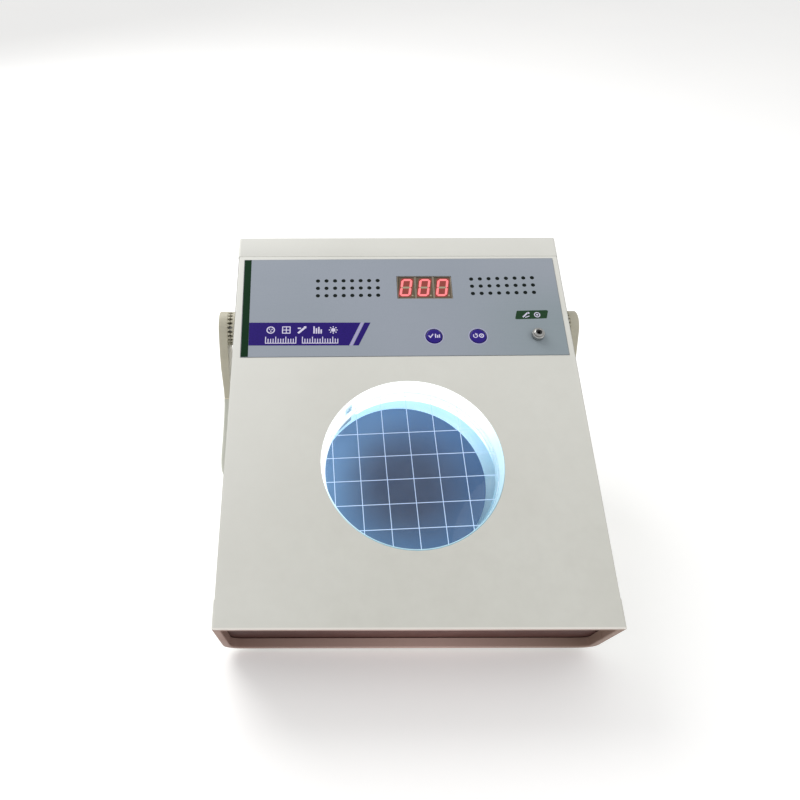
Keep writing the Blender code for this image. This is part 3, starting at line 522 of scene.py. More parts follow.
def case_painted_light_and_shade(mat, colour):
    """Painted shade with a brown painted reflection in the case's mouth round the front panel, a
    painted highlight on the edge above it, and painted light paling the case to the rear and left.
    """
    x, y, z = (mat.axis(k) for k in range(3))
    # The mouth's inner walls and its front face, both near the front.
    inside = mat.ramp(mat.math("ABSOLUTE", x), (112.4, 112.8), to=FALL)
    inner = mat.times(inside, mat.times(mat.ramp(z, (2.0, 2.4)),
                                        mat.ramp(z, (57.0, 57.4), to=FALL)))
    face = mat.times(mat.ramp(y, (0.25, 0.45), to=FALL), mat.ramp(z, (58.7, 59.1), to=FALL))
    mouth = mat.times(mat.math("MAXIMUM", inner, face), mat.ramp(y, (5.8, 6.0), to=FALL))
    # Painted shade with a brown painted reflection in the mouth, darker at its left and right.
    left, middle, right = srgb(152, 124, 114), srgb(204, 175, 166), srgb(152, 127, 114)
    stain_and_painted_shade = mat.mix(mat.ramp(x, (-105.0, 0.0)), left, middle)
    stain_and_painted_shade = mat.mix(mat.ramp(x, (20.0, 105.0)), stain_and_painted_shade, right)
    # Painted light: paler to the rear and to the left.
    painted_light_gradient = mat.add(mat.ramp(y, (40.0, CASE_DEPTH), to=(0.0, 0.6)),
                   mat.ramp(x, (-40.0, -120.0), to=(0.0, 0.4)))
    colour = mat.mix(painted_light_gradient, colour, srgb(229, 229, 224))
    colour = mat.mix(mouth, colour, stain_and_painted_shade)
    # Painted highlight along the top front edge.
    painted_edge_highlight = mat.times(mat.ramp(y, (0.7, 1.1), to=FALL), mat.ramp(z, (58.9, 59.2)))
    return mat.mix(mat.times(painted_edge_highlight, 0.8), colour, srgb(240, 235, 228))


def panel_shade(mat, colour):
    """Painted shade: the end panels are darkest at their ends."""
    x = mat.axis(0)
    ends = mat.math("MAXIMUM", mat.ramp(x, (0.0, -100.0), to=(0.0, 0.62)),
                    mat.ramp(x, (20.0, 105.0), to=(0.0, 0.35)))
    return mat.mix(ends, colour, srgb(52, 24, 19))


# Name, colour, shaded colour; then roughness, grain scale, grain depth in mm, blotchiness,
# corner darkening, and whatever else sets it apart.
for *row, extra in (
    ("case_moulding", srgb(213, 213, 206), srgb(205, 204, 196), 0.5, 1.25, 0.028, 0.5, 0.22,
     dict(specks=0.05, spec=0.3, tint=case_painted_light_and_shade)),
    ("handle_moulding", srgb(192, 188, 172), srgb(175, 170, 151), 0.42, 1.4, 0.022, 0.6, 0.3,
     dict(specks=0.05)),
    ("collar_moulding", srgb(226, 216, 192), srgb(212, 202, 178), 0.4, 1.6, 0.012, 0.4, 0.05, {}),
    ("grip_moulding", srgb(204, 206, 196), srgb(190, 192, 181), 0.5, 1.1, 0.04, 0.6, 0.25,
     dict(specks=0.05)),
    # The end panels' dark brown is painted shade with a brown painted reflection.
    ("panel_sheet", srgb(112, 76, 70), srgb(84, 54, 49), 0.5, 1.7, 0.02, 0.6, 0.3,
     dict(spec=0.3, tint=panel_shade)),
    ("white_gloss_moulding", srgb(238, 240, 240), srgb(226, 230, 231), 0.3, 0.9, 0.008, 0.3, 0.15,
     dict(coat=0.3)),
    ("black_moulding", (0.022, 0.022, 0.023), (0.012, 0.012, 0.013), 0.34, 1.6, 0.012, 0.5, 0.0,
     {}),
    ("indigo_key", srgb(44, 24, 130), srgb(36, 19, 116), 0.4, 1.9, 0.006, 0.5, 0.1,
     dict(spec=0.2)),
    ("digit_housing", srgb(176, 162, 146), srgb(150, 138, 120), 0.45, 1.8, 0.01, 0.6, 0.2, {}),
    ("core_laminations", (0.16, 0.15, 0.14), (0.07, 0.055, 0.05), 0.42, 1.2, 0.03, 0.8, 0.2, {}),
):
    moulded(*row, **extra)


def painted_glow_moulding(name, colour, power):
    """Thin moulding with a painted glow standing for the lamp's light coming through it."""
    mat = Finish(name)
    grain = mat.cloud(1.4)
    colour = mat.mix(mat.ramp(grain), colour, scaled(colour, 0.9))
    mat.set(Base_Color=colour, Roughness=mat.ramp(grain, to=(0.38, 0.5)),
            Specular_IOR_Level=0.25, Emission_Color=colour, Emission_Strength=power)
    mat.bump(grain, depth=0.01, strength=0.4)


painted_glow_moulding("catch_moulding", srgb(200, 228, 241), power=0.55)
painted_glow_moulding("catch_line_moulding", srgb(120, 148, 174), power=0.3)


# ---- label film and inks ---------------------------------------------------------------
def label_film():
    mat = Finish("label_film")
    grain = mat.noise(2.2, detail=5, rough=0.7)
    brushed = mat.noise(1.0, detail=3, rough=0.6, stretch=(0.06, 2.2, 1))
    slow = mat.ramp(mat.noise(0.013, detail=2), (0.35, 0.65))
    across = mat.ramp(mat.axis(0), (20.0, 110.0), smooth=True)
    rearward = mat.ramp(mat.axis(1), (205.0, 252.0), smooth=True)
    right = mat.mix(rearward, srgb(143, 155, 161), srgb(160, 166, 177))
    colour = mat.mix(across, srgb(154, 161, 173), right)
    colour = mat.mix(mat.times(slow, 0.3), colour, srgb(141, 151, 160))
    colour = mat.mix(mat.ramp(grain, (0.35, 0.65), to=(0.0, 0.16)), colour, srgb(126, 136, 147))
    colour = mat.mix(mat.ramp(brushed, (0.4, 0.7), to=(0.0, 0.08)), colour, srgb(168, 174, 183))
    mat.set(Base_Color=colour, Roughness=mat.ramp(grain, to=(0.48, 0.6)), Specular_IOR_Level=0.25)
    mat.bump(grain, depth=0.01, strength=0.5)


def ink(name, colour, thin_colour, rough):
    """Screen-printed ink: faint mesh and thin spots."""
    mat = Finish(name)
    thin = mat.cloud(0.8)
    mesh = mat.cells(5.0)
    mat.set(Base_Color=mat.mix(mat.ramp(thin, (0.35, 0.7)), colour, thin_colour),
            Roughness=mat.ramp(mesh, (0.0, 0.8), to=(rough - 0.05, rough + 0.08)),
            Specular_IOR_Level=0.12)
    mat.bump(mesh, depth=0.006, strength=0.4)


label_film()
ink("ink_green", srgb(2, 48, 20), srgb(0, 40, 16), rough=0.6)
ink("ink_indigo", srgb(40, 20, 116), srgb(34, 16, 102), rough=0.5)
ink("ink_tag_green", srgb(38, 70, 44), srgb(28, 58, 35), rough=0.5)
ink("ink_pale", srgb(222, 218, 238), srgb(206, 200, 228), rough=0.5)
ink("ink_lilac", srgb(172, 166, 204), srgb(160, 154, 194), rough=0.5)
ink("ink_halo", srgb(178, 178, 208), srgb(168, 168, 200), rough=0.5)
ink("perforation_mesh", srgb(12, 24, 20), srgb(4, 14, 11), rough=0.6)


# ---- metals, rubber, board and cable -----------------------------------------------------
def metal(name, colour, rough):
    mat = Finish(name)
    lines = mat.noise(1.6, detail=4, rough=0.7, stretch=(0.15, 0.15, 3.0))
    stain_and_painted_shade = mat.cloud(0.22)
    stained = mat.mix(mat.ramp(stain_and_painted_shade, (0.4, 0.75), to=(0.0, 0.5)), colour, scaled(colour, 0.72))
    mat.set(Base_Color=stained, Metallic=1.0,
            Roughness=mat.add(mat.ramp(lines, to=(rough - 0.07, rough + 0.1)),
                              mat.ramp(stain_and_painted_shade, (0.5, 0.8), to=(0.0, 0.12))))
    mat.bump(lines, depth=0.006, strength=0.5)


def rubber():
    mat = Finish("foot_rubber")
    fine, slow = mat.noise(1.9, detail=5, rough=0.7), mat.noise(0.2, detail=4)
    colour = mat.mix(mat.ramp(slow, (0.35, 0.7)), (0.022, 0.022, 0.023), (0.05, 0.049, 0.047))
    colour = mat.mix(mat.ramp(fine, (0.6, 0.75), to=(0.0, 0.35)), colour, (0.14, 0.135, 0.125))
    mat.set(Base_Color=colour, Roughness=mat.ramp(fine, to=(0.7, 0.9)), Specular_IOR_Level=0.3)
    mat.bump(fine, depth=0.05, strength=0.6)


def board():
    mat = Finish("board_mask")
    traces = mat.cells(0.35, "DISTANCE_TO_EDGE")
    mat.set(Base_Color=mat.mix(mat.ramp(traces, (0.02, 0.06)), srgb(24, 96, 48), srgb(14, 62, 32)),
            Roughness=0.34)
    mat.bump(mat.ramp(traces, (0.02, 0.08)), depth=0.03, strength=0.5)
    mat.bump(mat.noise(3.0), depth=0.01, strength=0.3)


def cable():
    mat = Finish("cable_sheath")
    cloud = mat.cloud(0.8)
    mat.set(Base_Color=mat.mix(mat.ramp(cloud), (0.05, 0.05, 0.055), (0.11, 0.11, 0.12)),
            Roughness=mat.ramp(cloud, to=(0.4, 0.6)))
    mat.bump(mat.noise(2.4), depth=0.02, strength=0.4)


metal("nickel_plating", (0.5, 0.5, 0.49), rough=0.26)
metal("zinc_plating", (0.62, 0.63, 0.62), rough=0.32)
metal("brass_contact", (0.78, 0.58, 0.28), rough=0.24)
rubber()
board()
cable()

# ---- lamp, window and digit materials ----------------------------------------------------
LAMP_BRIGHT = 110.0              # bearing of the lamp's brightest side, in degrees


def lit_tube():
    """Opal lamp glass: brightest at the back, cooler and dimmer towards its far side."""
    mat = Finish("opal_lamp_glass")
    power = mat.ramp(mat.towards(LAMP_BRIGHT), (-0.5, 0.5), to=(0.2, 1.0), smooth=True)
    upper = mat.ramp(mat.axis(2), (28.0, 36.5), to=(0.12, 1.0), smooth=True)
    cloud = mat.times(mat.ramp(mat.noise(0.25), to=(0.92, 1.0)), upper)
    mat.set(Base_Color=srgb(176, 206, 220), Coat_Weight=0.2,
            Roughness=mat.ramp(mat.noise(1.5), to=(0.18, 0.26)),
            Emission_Color=mat.mix(mat.times(power, upper), srgb(158, 208, 226),
                                   srgb(250, 253, 255)),
            Emission_Strength=mat.times(mat.times(power, cloud), 3.2))
    mat.bump(mat.noise(1.2), depth=0.004, strength=0.3)


def reflector():
    """White enamelled dish with a painted glow for the light of the lamp beside it."""
    mat = Finish("reflector_enamel")
    power = mat.ramp(mat.towards(LAMP_BRIGHT), (-0.6, 0.6), to=(0.08, 0.5), smooth=True)
    peel = mat.noise(0.9)
    mat.set(Base_Color=mat.mix(mat.ramp(mat.noise(0.06)), srgb(240, 246, 248),
                               srgb(226, 238, 243)),
            Roughness=mat.ramp(peel, to=(0.3, 0.42)),
            Emission_Color=mat.mix(power, srgb(130, 190, 216), srgb(222, 242, 250)),
            Emission_Strength=power)
    mat.bump(peel, depth=0.02, strength=0.4)


def glowing_bezel():
    """White wall with a painted glow standing for the ring lamp's light through it, coldest away
    from its bright side.
    """
    mat = Finish("bezel_glow")
    near = mat.towards(LAMP_BRIGHT)
    glow = mat.mix(mat.ramp(near, (-0.77, -0.34)), srgb(150, 195, 212), srgb(190, 224, 237))
    glow = mat.mix(mat.ramp(near, (-0.34, 0.35), smooth=True), glow, srgb(250, 254, 255))
    peel = mat.noise(0.9)
    power = mat.times(mat.ramp(near, (-0.77, 0.35), to=(0.34, 0.8)),
                      mat.ramp(mat.noise(0.2), to=(0.94, 1.0)))
    mat.set(Base_Color=mat.mix(0.35, glow, srgb(216, 228, 234)),
            Roughness=mat.ramp(peel, to=(0.35, 0.5)), Specular_IOR_Level=0.3,
            Emission_Color=glow, Emission_Strength=power)
    mat.bump(peel, depth=0.01, strength=0.3)


def dark_field():
    """Flocked disc, with painted lamp light and a painted glow strongest at its rim."""
    mat = Finish("dark_field_flock")
    rim = mat.ramp(mat.from_point((0.0, 98.0, 25.0)), (12.0, 52.0), smooth=True)
    side = mat.ramp(mat.towards(205.0, centre=(0.0, 98.0)), (-0.9, 0.9))
    nap = mat.noise(1.6, detail=5, rough=0.7)
    wear = mat.ramp(mat.cloud(0.09), (0.35, 0.7))
    # Painted light: the disc paler towards its rim and on one side.
    edge = mat.mix(side, srgb(64, 88, 120), srgb(95, 119, 146))
    colour = mat.mix(rim, srgb(64, 78, 104), edge)
    cloud = mat.ramp(mat.cloud(0.035), (0.38, 0.62))
    colour = mat.mix(mat.times(cloud, 0.3), colour, srgb(58, 70, 98))
    colour = mat.mix(mat.times(wear, 0.2), colour, srgb(84, 104, 134))
    colour = mat.mix(mat.ramp(nap, (0.55, 0.75), to=(0.0, 0.06)), colour, srgb(98, 111, 130))
    painted_rim_glow = mat.mix(side, srgb(68, 116, 168), srgb(112, 164, 214))
    mat.set(Base_Color=colour, Roughness=mat.ramp(nap, to=(0.6, 0.85)), Specular_IOR_Level=0.2,
            Emission_Color=mat.mix(rim, srgb(70, 84, 112), painted_rim_glow),
            Emission_Strength=mat.ramp(rim, (0.0, 1.0), to=(0.18, 0.36)))
    mat.bump(nap, depth=0.006, strength=0.15)


def plate_glass():
    """Clear plate: what lies below shows through, with a sky-like sheen on its face."""
    mat = Finish("clear_plate")
    smear = mat.ramp(mat.cloud(0.07), (0.45, 0.75))
    clear = mat.node("BsdfTransparent")
    clear.inputs[0].default_value = (0.965, 0.985, 0.998, 1)
    gloss = mat.node("BsdfGlossy")
    gloss.inputs["Color"].default_value = (0.96, 0.98, 1.0, 1)
    mat.link(mat.ramp(smear, (0.0, 1.0), to=(0.02, 0.06)), gloss.inputs["Roughness"])
    facing = mat.node("Fresnel")
    facing.inputs["IOR"].default_value = 1.48
    share = mat.add(mat.times(facing.outputs[0], 0.75), mat.times(smear, 0.01))
    mixed = mat.node("MixShader")
    for k, output in enumerate((share, clear.outputs[0], gloss.outputs[0])):
        mat.link(output, mixed.inputs[k])
    mat.link(mixed.outputs[0], mat.out.inputs[0])
    mat.nodes.remove(mat.surface)


def ground_line():
    """Ground groove in the plate, with a painted glow for the lamp light it catches, brighter near
    the plate's rim.
    """
    mat = Finish("ground_line")
    grain = mat.noise(2.5, detail=4, rough=0.7)
    rim = mat.ramp(mat.from_point((*WINDOW_AT, 48.0)), (20.0, 56.0))
    colour = mat.mix(rim, srgb(170, 190, 222), srgb(190, 212, 240))
    mat.set(Base_Color=colour, Roughness=0.6, Emission_Color=colour,
            Emission_Strength=mat.ramp(grain, to=(0.34, 0.5)))
    mat.bump(grain, depth=0.02, strength=0.5)


def digit_face():
    """Epoxy face, with painted shade along the rear and left of its recess."""
    mat = Finish("digit_face_epoxy")
    colour = mat.mix(mat.ramp(mat.cloud(0.5), (0.35, 0.65)), srgb(108, 95, 77), srgb(94, 84, 68))
    shade = mat.math("MAXIMUM", mat.ramp(mat.axis(1), (240.9, 242.0)),
                     mat.ramp(mat.axis(0), (0.2, -1.4)))
    colour = mat.mix(mat.times(shade, 0.75), colour, srgb(48, 40, 36))
    mat.set(Base_Color=colour, Roughness=mat.ramp(mat.noise(2.0), to=(0.3, 0.42)),
            Specular_IOR_Level=0.2)
    mat.bump(mat.noise(1.2), depth=0.01, strength=0.3)


def digit_glow():
    mat = Finish("digit_halo_epoxy")
    colour = mat.mix(mat.ramp(mat.cloud(0.6), (0.35, 0.65)), srgb(146, 72, 64), srgb(130, 66, 58))
    mat.set(Base_Color=colour, Roughness=0.4, Emission_Color=srgb(190, 50, 50),
            Emission_Strength=0.1, Specular_IOR_Level=0.2)
    mat.bump(mat.noise(1.4), depth=0.01, strength=0.3)


def segment(name, glow, power, base):
    mat = Finish(name)
    grain = mat.ramp(mat.noise(1.1, detail=3, rough=0.6))
    mat.set(Base_Color=base, Roughness=0.35, Emission_Strength=power,
            Emission_Color=mat.mix(grain, glow, scaled(glow, 0.88)))
    mat.bump(mat.noise(2.2), depth=0.01, strength=0.3)


for make in (lit_tube, reflector, dark_field, plate_glass, ground_line, digit_face, digit_glow,
             glowing_bezel):
    make()
segment("lit_segment", srgb(255, 118, 124), power=0.8, base=srgb(200, 110, 112))
segment("unlit_segment", srgb(150, 150, 110), power=0.05, base=srgb(164, 152, 128))

# ---- case shells -------------------------------------------------------------------------
# Corners of the label film, and of the shallow seat sunk in the case for it.
FILM = [(-109.97, 257.35), (-108.55, 175.95), (110.14, 177.35), (110.27, 258.4)]
SEAT = [(-110.27, 257.65), (-108.85, 175.6), (110.45, 177.02), (110.58, 258.72)]
SEAT_Y = 217.4                   # the seat's middle


def shell_edge(middle):
    """How far an edge of the shells is rounded, in millimetres."""
    x, y, z = middle
    near_split = 28 < z < 32
    if (y < 0.3 or y > CASE_DEPTH - 0.3) and not near_split:
        return 0.7
    if z > 59.9 and abs(math.hypot(x - WINDOW_AT[0], y - WINDOW_AT[1]) - BORE) < 0.6:
        return 0.35
    if z > 58.7 and abs(x) > 113.0:
        return 0.45
    if 59.0 < z < 60.1 and 175.0 < y < 259.5 and abs(x) < 112:     # the label's seat
        return 0.0 if z < 59.95 else 0.1
    if z > 59.5 and abs(y - 260.5) < 0.6:                          # the groove behind it
        return 0.08
    return 0.2 if near_split or z < 4.2 else 0.15


inner_seat = [(x * 0.97, SEAT_Y + (y - SEAT_Y) * 0.95) for x, y in SEAT]
seat_frame = flat([rect(-110.8, 176.2, 111.2, 258.6), inner_seat], 59.3, 60.0)
upper = carved(of_node("upper_case"), seat_frame, op="UNION")
groove = block((-116, 260.25, 59.72), (116, 260.75, 61))
upper = carved(upper, flat([SEAT], 59.42, 61), groove)
for half, shell in (("upper", upper), ("lower", of_node("lower_case"))):
    piece(f"shell_{half}", shell, "case_moulding", "case_abs", f"{half}_case",
          width=shell_edge, steps=3)
for end, edge in (("front", 0.3), ("rear", 0.25)):
    piece(f"panel_{end}", of_node(f"{end}_panel"), "panel_sheet", "end_panel", f"{end}_panel",
          edge=edge)


# ---- label -------------------------------------------------------------------------------
def dots(*corners):
    """Three rows of eight between front left, front right, rear left and rear right dots."""
    front_left, front_right, rear_left, rear_right = (Vector(corner) for corner in corners)
    return [tuple(front_left.lerp(front_right, a).lerp(rear_left.lerp(rear_right, a), b))
            for b in (0, 0.5, 1) for a in np.linspace(0, 1, 8)]


GRILLES = {"left": dots((-57.4, 225.8), (-15.4, 226.2), (-57.4, 238.6), (-15.4, 238.9)),
           "right": dots((50.7, 227.5), (93.4, 228.4), (50.6, 240.0), (93.6, 241.1))}
holes = [rect(-2.1, 223.2, 36.6, 242.8, 0.4)] + [circle(*key, 5.9, 64) for key in KEYS.values()]
holes += [circle(*JACK, 3.3, 48)]
holes += [circle(x, y, 1.48, 24) for spots in GRILLES.values() for x, y in spots]
film = flat([rounded(FILM, 3, closed=True, radius=0.4)], 59.7, LABEL_TOP)
piece("label_plate", carved(film, flat(holes, 59.0, 61.0)), "label_film", "label_film",
      "label_overlay", edge=0.07)
CUP = [(0, 60.07), (0.8, 60.08), (1.25, 60.1), (1.42, 60.13), (1.46, 60.08), (1.46, 59.45),
       (0, 59.45)]               # radius, height
for side, spots in GRILLES.items():
    piece(f"grille_{side}", joined(*(spun(turned(CUP, 24), x, y) for x, y in spots)),
          "perforation_mesh", "label_film")

INK = (LABEL_TOP - 0.03, LABEL_TOP + 0.05)
OVERPRINT = (LABEL_TOP - 0.01, LABEL_TOP + 0.11)


def printed(name, outlines, material, heights=INK):
    piece(f"print_{name}", flat(outlines, *heights), material, "label_film", edge=0.02, steps=1)


TAG = [(77.4, 205.7), (99.2, 206.5), (101.1, 213.3), (79.4, 212.8)]
for name, material, outline in (
    ("edge_stripe", "ink_green",
     [(-109.85, 257.25), (-108.42, 176.06), (-103.65, 176.1), (-105.0, 257.28)]),
    ("banner", "ink_indigo", [(-103.7, 185.0), (-36.3, 184.9), (-28.2, 203.3), (-104.05, 203.4)]),
    ("banner_gap", "ink_lilac", [(-35.9, 184.9), (-34.0, 184.9), (-25.9, 203.3), (-27.8, 203.3)]),
    ("banner_slash", "ink_indigo",
     [(-33.6, 184.9), (-29.8, 184.9), (-21.4, 203.3), (-25.5, 203.3)]),
    ("tag", "ink_tag_green", rounded(TAG, 4, closed=True, radius=0.9)),
):
    printed(name, [outline], material)
for name, key in KEYS.items():
    printed(f"{name}_ring", [circle(*key, 6.62, 64), circle(*key, 5.98, 64)], "ink_halo")


def pictures():
    """Five small pictures: a dish, a grid, a pen, a tally of bars and a lamp."""
    dish, grid, pen, bars, lamp = (-89.2 + 10.6 * k for k in range(5))
    y, half = 197.3, 2.9
    marks = [circle(dish, y, half, 32), circle(dish, y, half - 0.8, 32)]
    marks += [circle(dish + a, y + b, 0.5, 12) for a, b in ((-0.8, 0.7), (0.9, 0.5), (0.1, -0.9))]
    marks += [around(grid, y, half, half, 0.4)]
    marks += [rect(grid + a, y + b, grid + a + 1.9, y + b + 1.9)
              for a in (-2.2, 0.3) for b in (-2.2, 0.3)]
    marks += [stroke([(pen - 2.6, y - 2.6), (pen + 1.6, y + 1.6)], 1.5),
              rect(pen + 1.2, y + 1.3, pen + 3.0, y + 3.0, 0.5),
              rect(pen - 2.9, y + 0.9, pen - 0.6, y + 1.9)]
    marks += [rect(bars + a, y - half, bars + a + 1.0, y + b)
              for a, b in ((-2.9, 2.9), (-1.3, 1.4), (0.3, 2.4), (1.9, 0.4))]
    marks += [circle(lamp, y, 1.5, 24)]
    for a in np.linspace(0, 2 * math.pi, 9)[:-1]:
        ray = [(lamp + r * math.cos(a), y + r * math.sin(a)) for r in (2.0, 3.0)]
        marks.append(stroke(ray, 0.75))
    return marks


def scale_ticks():
    """A counting scale in front of the pictures, in two lengths, every fourth tick longer."""
    pitch, width, y = 1.7, 0.62, 187.0
    ticks = []
    for start, count in ((-92.7, 13), (-67.9, 15)):
        for k in range(count):
            x = start + pitch * k
            ticks.append(rect(x, y, x + width, y + (4.9 if k % 4 == 0 else 3.3), 0.15, 3))
        end = start + pitch * (count - 1) + width
        ticks.append(rect(start, y - 0.55, end, y + 0.05, 0.1, 2))
    return ticks


printed("banner_pictures", pictures(), "ink_pale", OVERPRINT)
printed("banner_ticks", scale_ticks(), "ink_pale", OVERPRINT)
tag_picture = [stroke([(83.0, 207.4), (86.4, 211.0)], 1.0),
               stroke([(84.6, 207.2), (87.6, 208.4)], 0.6), circle(87.2, 210.9, 0.75, 16)]
tag_picture += [circle(93.0, 209.4, r, count) for r, count in ((2.15, 28), (1.5, 24), (0.75, 20))]
printed("tag_picture", tag_picture, "ink_pale", OVERPRINT)


# ---- display -----------------------------------------------------------------------------
def digit_shapes(cx, cy):
    """Lit outlines, unlit outlines and the halo of a leaning seven-segment digit."""
    width, height, thick, gap = 7.7, 14.7, 1.6, 0.06
    lean = math.tan(math.radians(9))
    a, b, k = (width - thick) / 2, (height - thick) / 2, thick / 2

    def put(points):
        return [(cx + x + y * lean, cy + y) for x, y in points]

    def across(y):
        end = a - gap
        return put([(-end, y), (-end + k, y + k), (end - k, y + k),
                    (end, y), (end - k, y - k), (-end + k, y - k)])

    def upright(x, y0, y1):
        y0, y1 = y0 + gap, y1 - gap
        return put([(x, y0), (x + k, y0 + k), (x + k, y1 - k),
                    (x, y1), (x - k, y1 - k), (x - k, y0 + k)])

    lit = [across(b), across(-b), upright(-a, 0, b), upright(a, 0, b), upright(-a, -b, 0),
           upright(a, -b, 0)]
    point = circle(cx + width / 2 + 0.35, cy - height / 2 + 0.5, 0.66, 20)
    frame_line = around(0, 0, width / 2 + 0.8, height / 2 + 0.7)
    return lit, [across(0), point], put(rounded(frame_line, 5, closed=True, radius=1.6))


for k, name in enumerate(("left", "middle", "right")):
    x, y = DIGITS_AT[0] + (k - 1) * DIGIT_PITCH, DIGITS_AT[1]
    lit, unlit, halo = digit_shapes(x - 0.2, y)
    housing = carved(block((x - 6.2, y - 9.5, 49.9), (x + 6.2, y + 9.5, 59.9)),
                     block((x - 5.85, y - 9.3, 59.3), (x + 5.85, y + 9.3, 61)))
    piece(f"digit_{name}_housing", housing, "digit_housing", "led_digit", f"digit_{name}",
          edge=0.06)
    # Part, outlines, low and high face, material, edge radius, bevel steps.
    for part, outlines, low, high, material, edge, steps in (
        ("face", [around(x, y, 5.82, 9.27, 0.3)], 59.28, 59.74, "digit_face_epoxy", 0.05, 2),
        ("halo", [halo], 59.70, 59.76, "digit_halo_epoxy", 0.02, 1),
        ("lit", lit, 59.72, 59.84, "lit_segment", 0.04, 2),
        ("unlit", unlit, 59.72, 59.82, "unlit_segment", 0.04, 2),
    ):
        piece(f"digit_{name}_{part}", flat(outlines, low, high), material, "led_digit",
              edge=edge, steps=steps)

# ---- keys --------------------------------------------------------------------------------
# Profiles here and below are rows of radius, height and, where rounded, corner radius.
KEY = [(0, 60.8), (3.2, 60.77), (4.8, 60.64, 1.2), (5.5, 60.2, 0.5), (5.5, 56.7, 0.2),
       (7.5, 56.7, 0.2), (7.5, 55.6, 0.2), (1.6, 55.35, 0.2), (0, 55.3)]
ICONS = {
    "test": [stroke([(-3.7, 0.2), (-2.6, -1.3), (-0.6, 1.5)], 0.75),
             rect(0.5, -1.6, 1.35, 1.6, 0.2), rect(1.9, -1.6, 2.75, 0.6, 0.2),
             rect(3.2, -1.6, 3.9, 1.1, 0.2)],
    "reset": [stroke(arc(-2.0, -0.1, 1.35, 130, 410, 17), 0.65),
              [(-2.1, 2.1), (-0.2, 1.3), (-1.8, 0.3)],
              circle(2.1, 0, 1.7, 28), circle(2.1, 0, 0.95, 24), circle(2.1, 0, 0.42, 16)],
}
for name, key in KEYS.items():
    piece(f"key_{name}_cap", turned(rounded(KEY, 5)), "indigo_key", "button_indigo",
          f"button_{name}", body=f"{name}_key", space=at(*key))
    piece(f"key_{name}_mark", flat(ICONS[name], 60.66, 60.83), "ink_pale", "button_indigo",
          body=f"{name}_key", space=at(*key), edge=0.02, steps=1)

# ---- probe socket ------------------------------------------------------------------------
bush = [(0, 47), (1.8, 47), (1.8, 64.3), (2.1, 64.8), (2.55, 64.8), (2.9, 64.55)]
for k in range(10):              # the thread
    z = 64.4 - 0.36 * k
    bush += [(3.0, z), (2.8, z - 0.18)]
bush += [(2.9, 60.6), (3.0, 56.7), (4.4, 56.7), (4.4, 44), (0, 44)]
piece("socket_bush", turned(bush, 64), "nickel_plating", "plated_steel", "probe_jack",
      space=at(*JACK))
knurl = []
for k in range(60):
    r, a = 4.35 - (0.22 if k % 2 else 0.0), 2 * math.pi * k / 60
    knurl.append((r * math.cos(a), r * math.sin(a)))
nut = carved(flat([knurl, circle(0, 0, 3.12, 48)], 60.5, 63.6),
             turned([(4.0, 60.4), (6.0, 60.4), (6.0, 60.95), (4.6, 60.95)], 48),
             turned([(3.75, 63.9), (5.5, 63.9), (5.5, 62.6), (4.62, 62.6)], 48))
piece("socket_nut", nut, "nickel_plating", "plated_steel", "jack_nut", space=at(*JACK), edge=0.06)
lining = [(0, 55.0), (1.05, 55.0), (1.05, 64.2), (1.15, 64.3), (1.7, 64.3), (1.78, 64.2),
          (1.78, 47.2), (0, 47.2)]
piece("socket_lining", turned(lining, 48), "black_moulding", "plated_steel", space=at(*JACK))

# ---- counting window ---------------------------------------------------------------------
ring = [(55.8, 60.0, 0.2), (56.4, 60.0, 0.2), (56.4, 56.7, 0.3), (64, 56.7, 0.4), (64, 55.0, 0.4),
        (59.5, 55.0, 0.5), (59.5, 42, 0.6), (54.0, 42, 0.6), (54.0, 44.7, 0.4), (55.8, 44.7, 0.2)]
piece("window_bezel", turned(rounded(ring, closed=True), 160), "bezel_glow", "white_plastic",
      "window_ring", space=WINDOW)
plate = [(0, 48.0), (55.4, 48.0, 0.5), (55.4, 45.0, 0.5), (0, 45.0)]
piece("window_plate", turned(rounded(plate, 3), 160), "clear_plate", "plate_glass", "grid_plate",
      space=WINDOW)


def grid_lines():
    """Two sets of parallel lines, slightly askew, each ending at the plate's edge."""
    crossing = Vector((1.5, -7.0))       # where the middle lines cross, from the window's centre
    reach, askew = 54.8, math.radians(2.6)
    u = Vector((math.cos(askew), math.sin(askew)))
    v = Vector((-math.sin(askew), math.cos(askew)))
    lines = []
    for run, step, pitch, places in ((u, v, 16.1, range(-2, 3)), (v, u, 16.6, range(-3, 3))):
        for k in places:
            point = crossing + step * (pitch * k)
            offset = point.dot(run)
            half = math.sqrt(offset * offset - (point.length_squared - reach ** 2))
            ends = [tuple(point + run * (-offset + way * half)) for way in (-1, 1)]
            lines.append(flat([stroke(ends, 0.46)], 47.97, 48.05))
    return joined(*lines)


piece("window_grid", grid_lines(), "ground_line", "plate_glass", space=WINDOW, edge=0.02, steps=1)
dish = [(0, 22.7), (10, 22.7, 1.0), (10, 20, 1.2), (70, 20, 2.4), (70, 34, 0.8), (72, 34, 0.8),
        (72, 20, 1.2), (70, 18, 1.2), (0, 18)]
piece("lamp_dish", turned(rounded(dish, 6), 144), "reflector_enamel", "white_plastic",
      "lamp_reflector", space=WINDOW)
disc = [(0, 25), (54.7, 25, 0.6), (54.7, 23, 0.6), (0, 23)]
piece("dark_disc", turned(rounded(disc), 160), "dark_field_flock", "dark_field", "base_disc",
      space=at(-1.6, WINDOW_AT[1]))


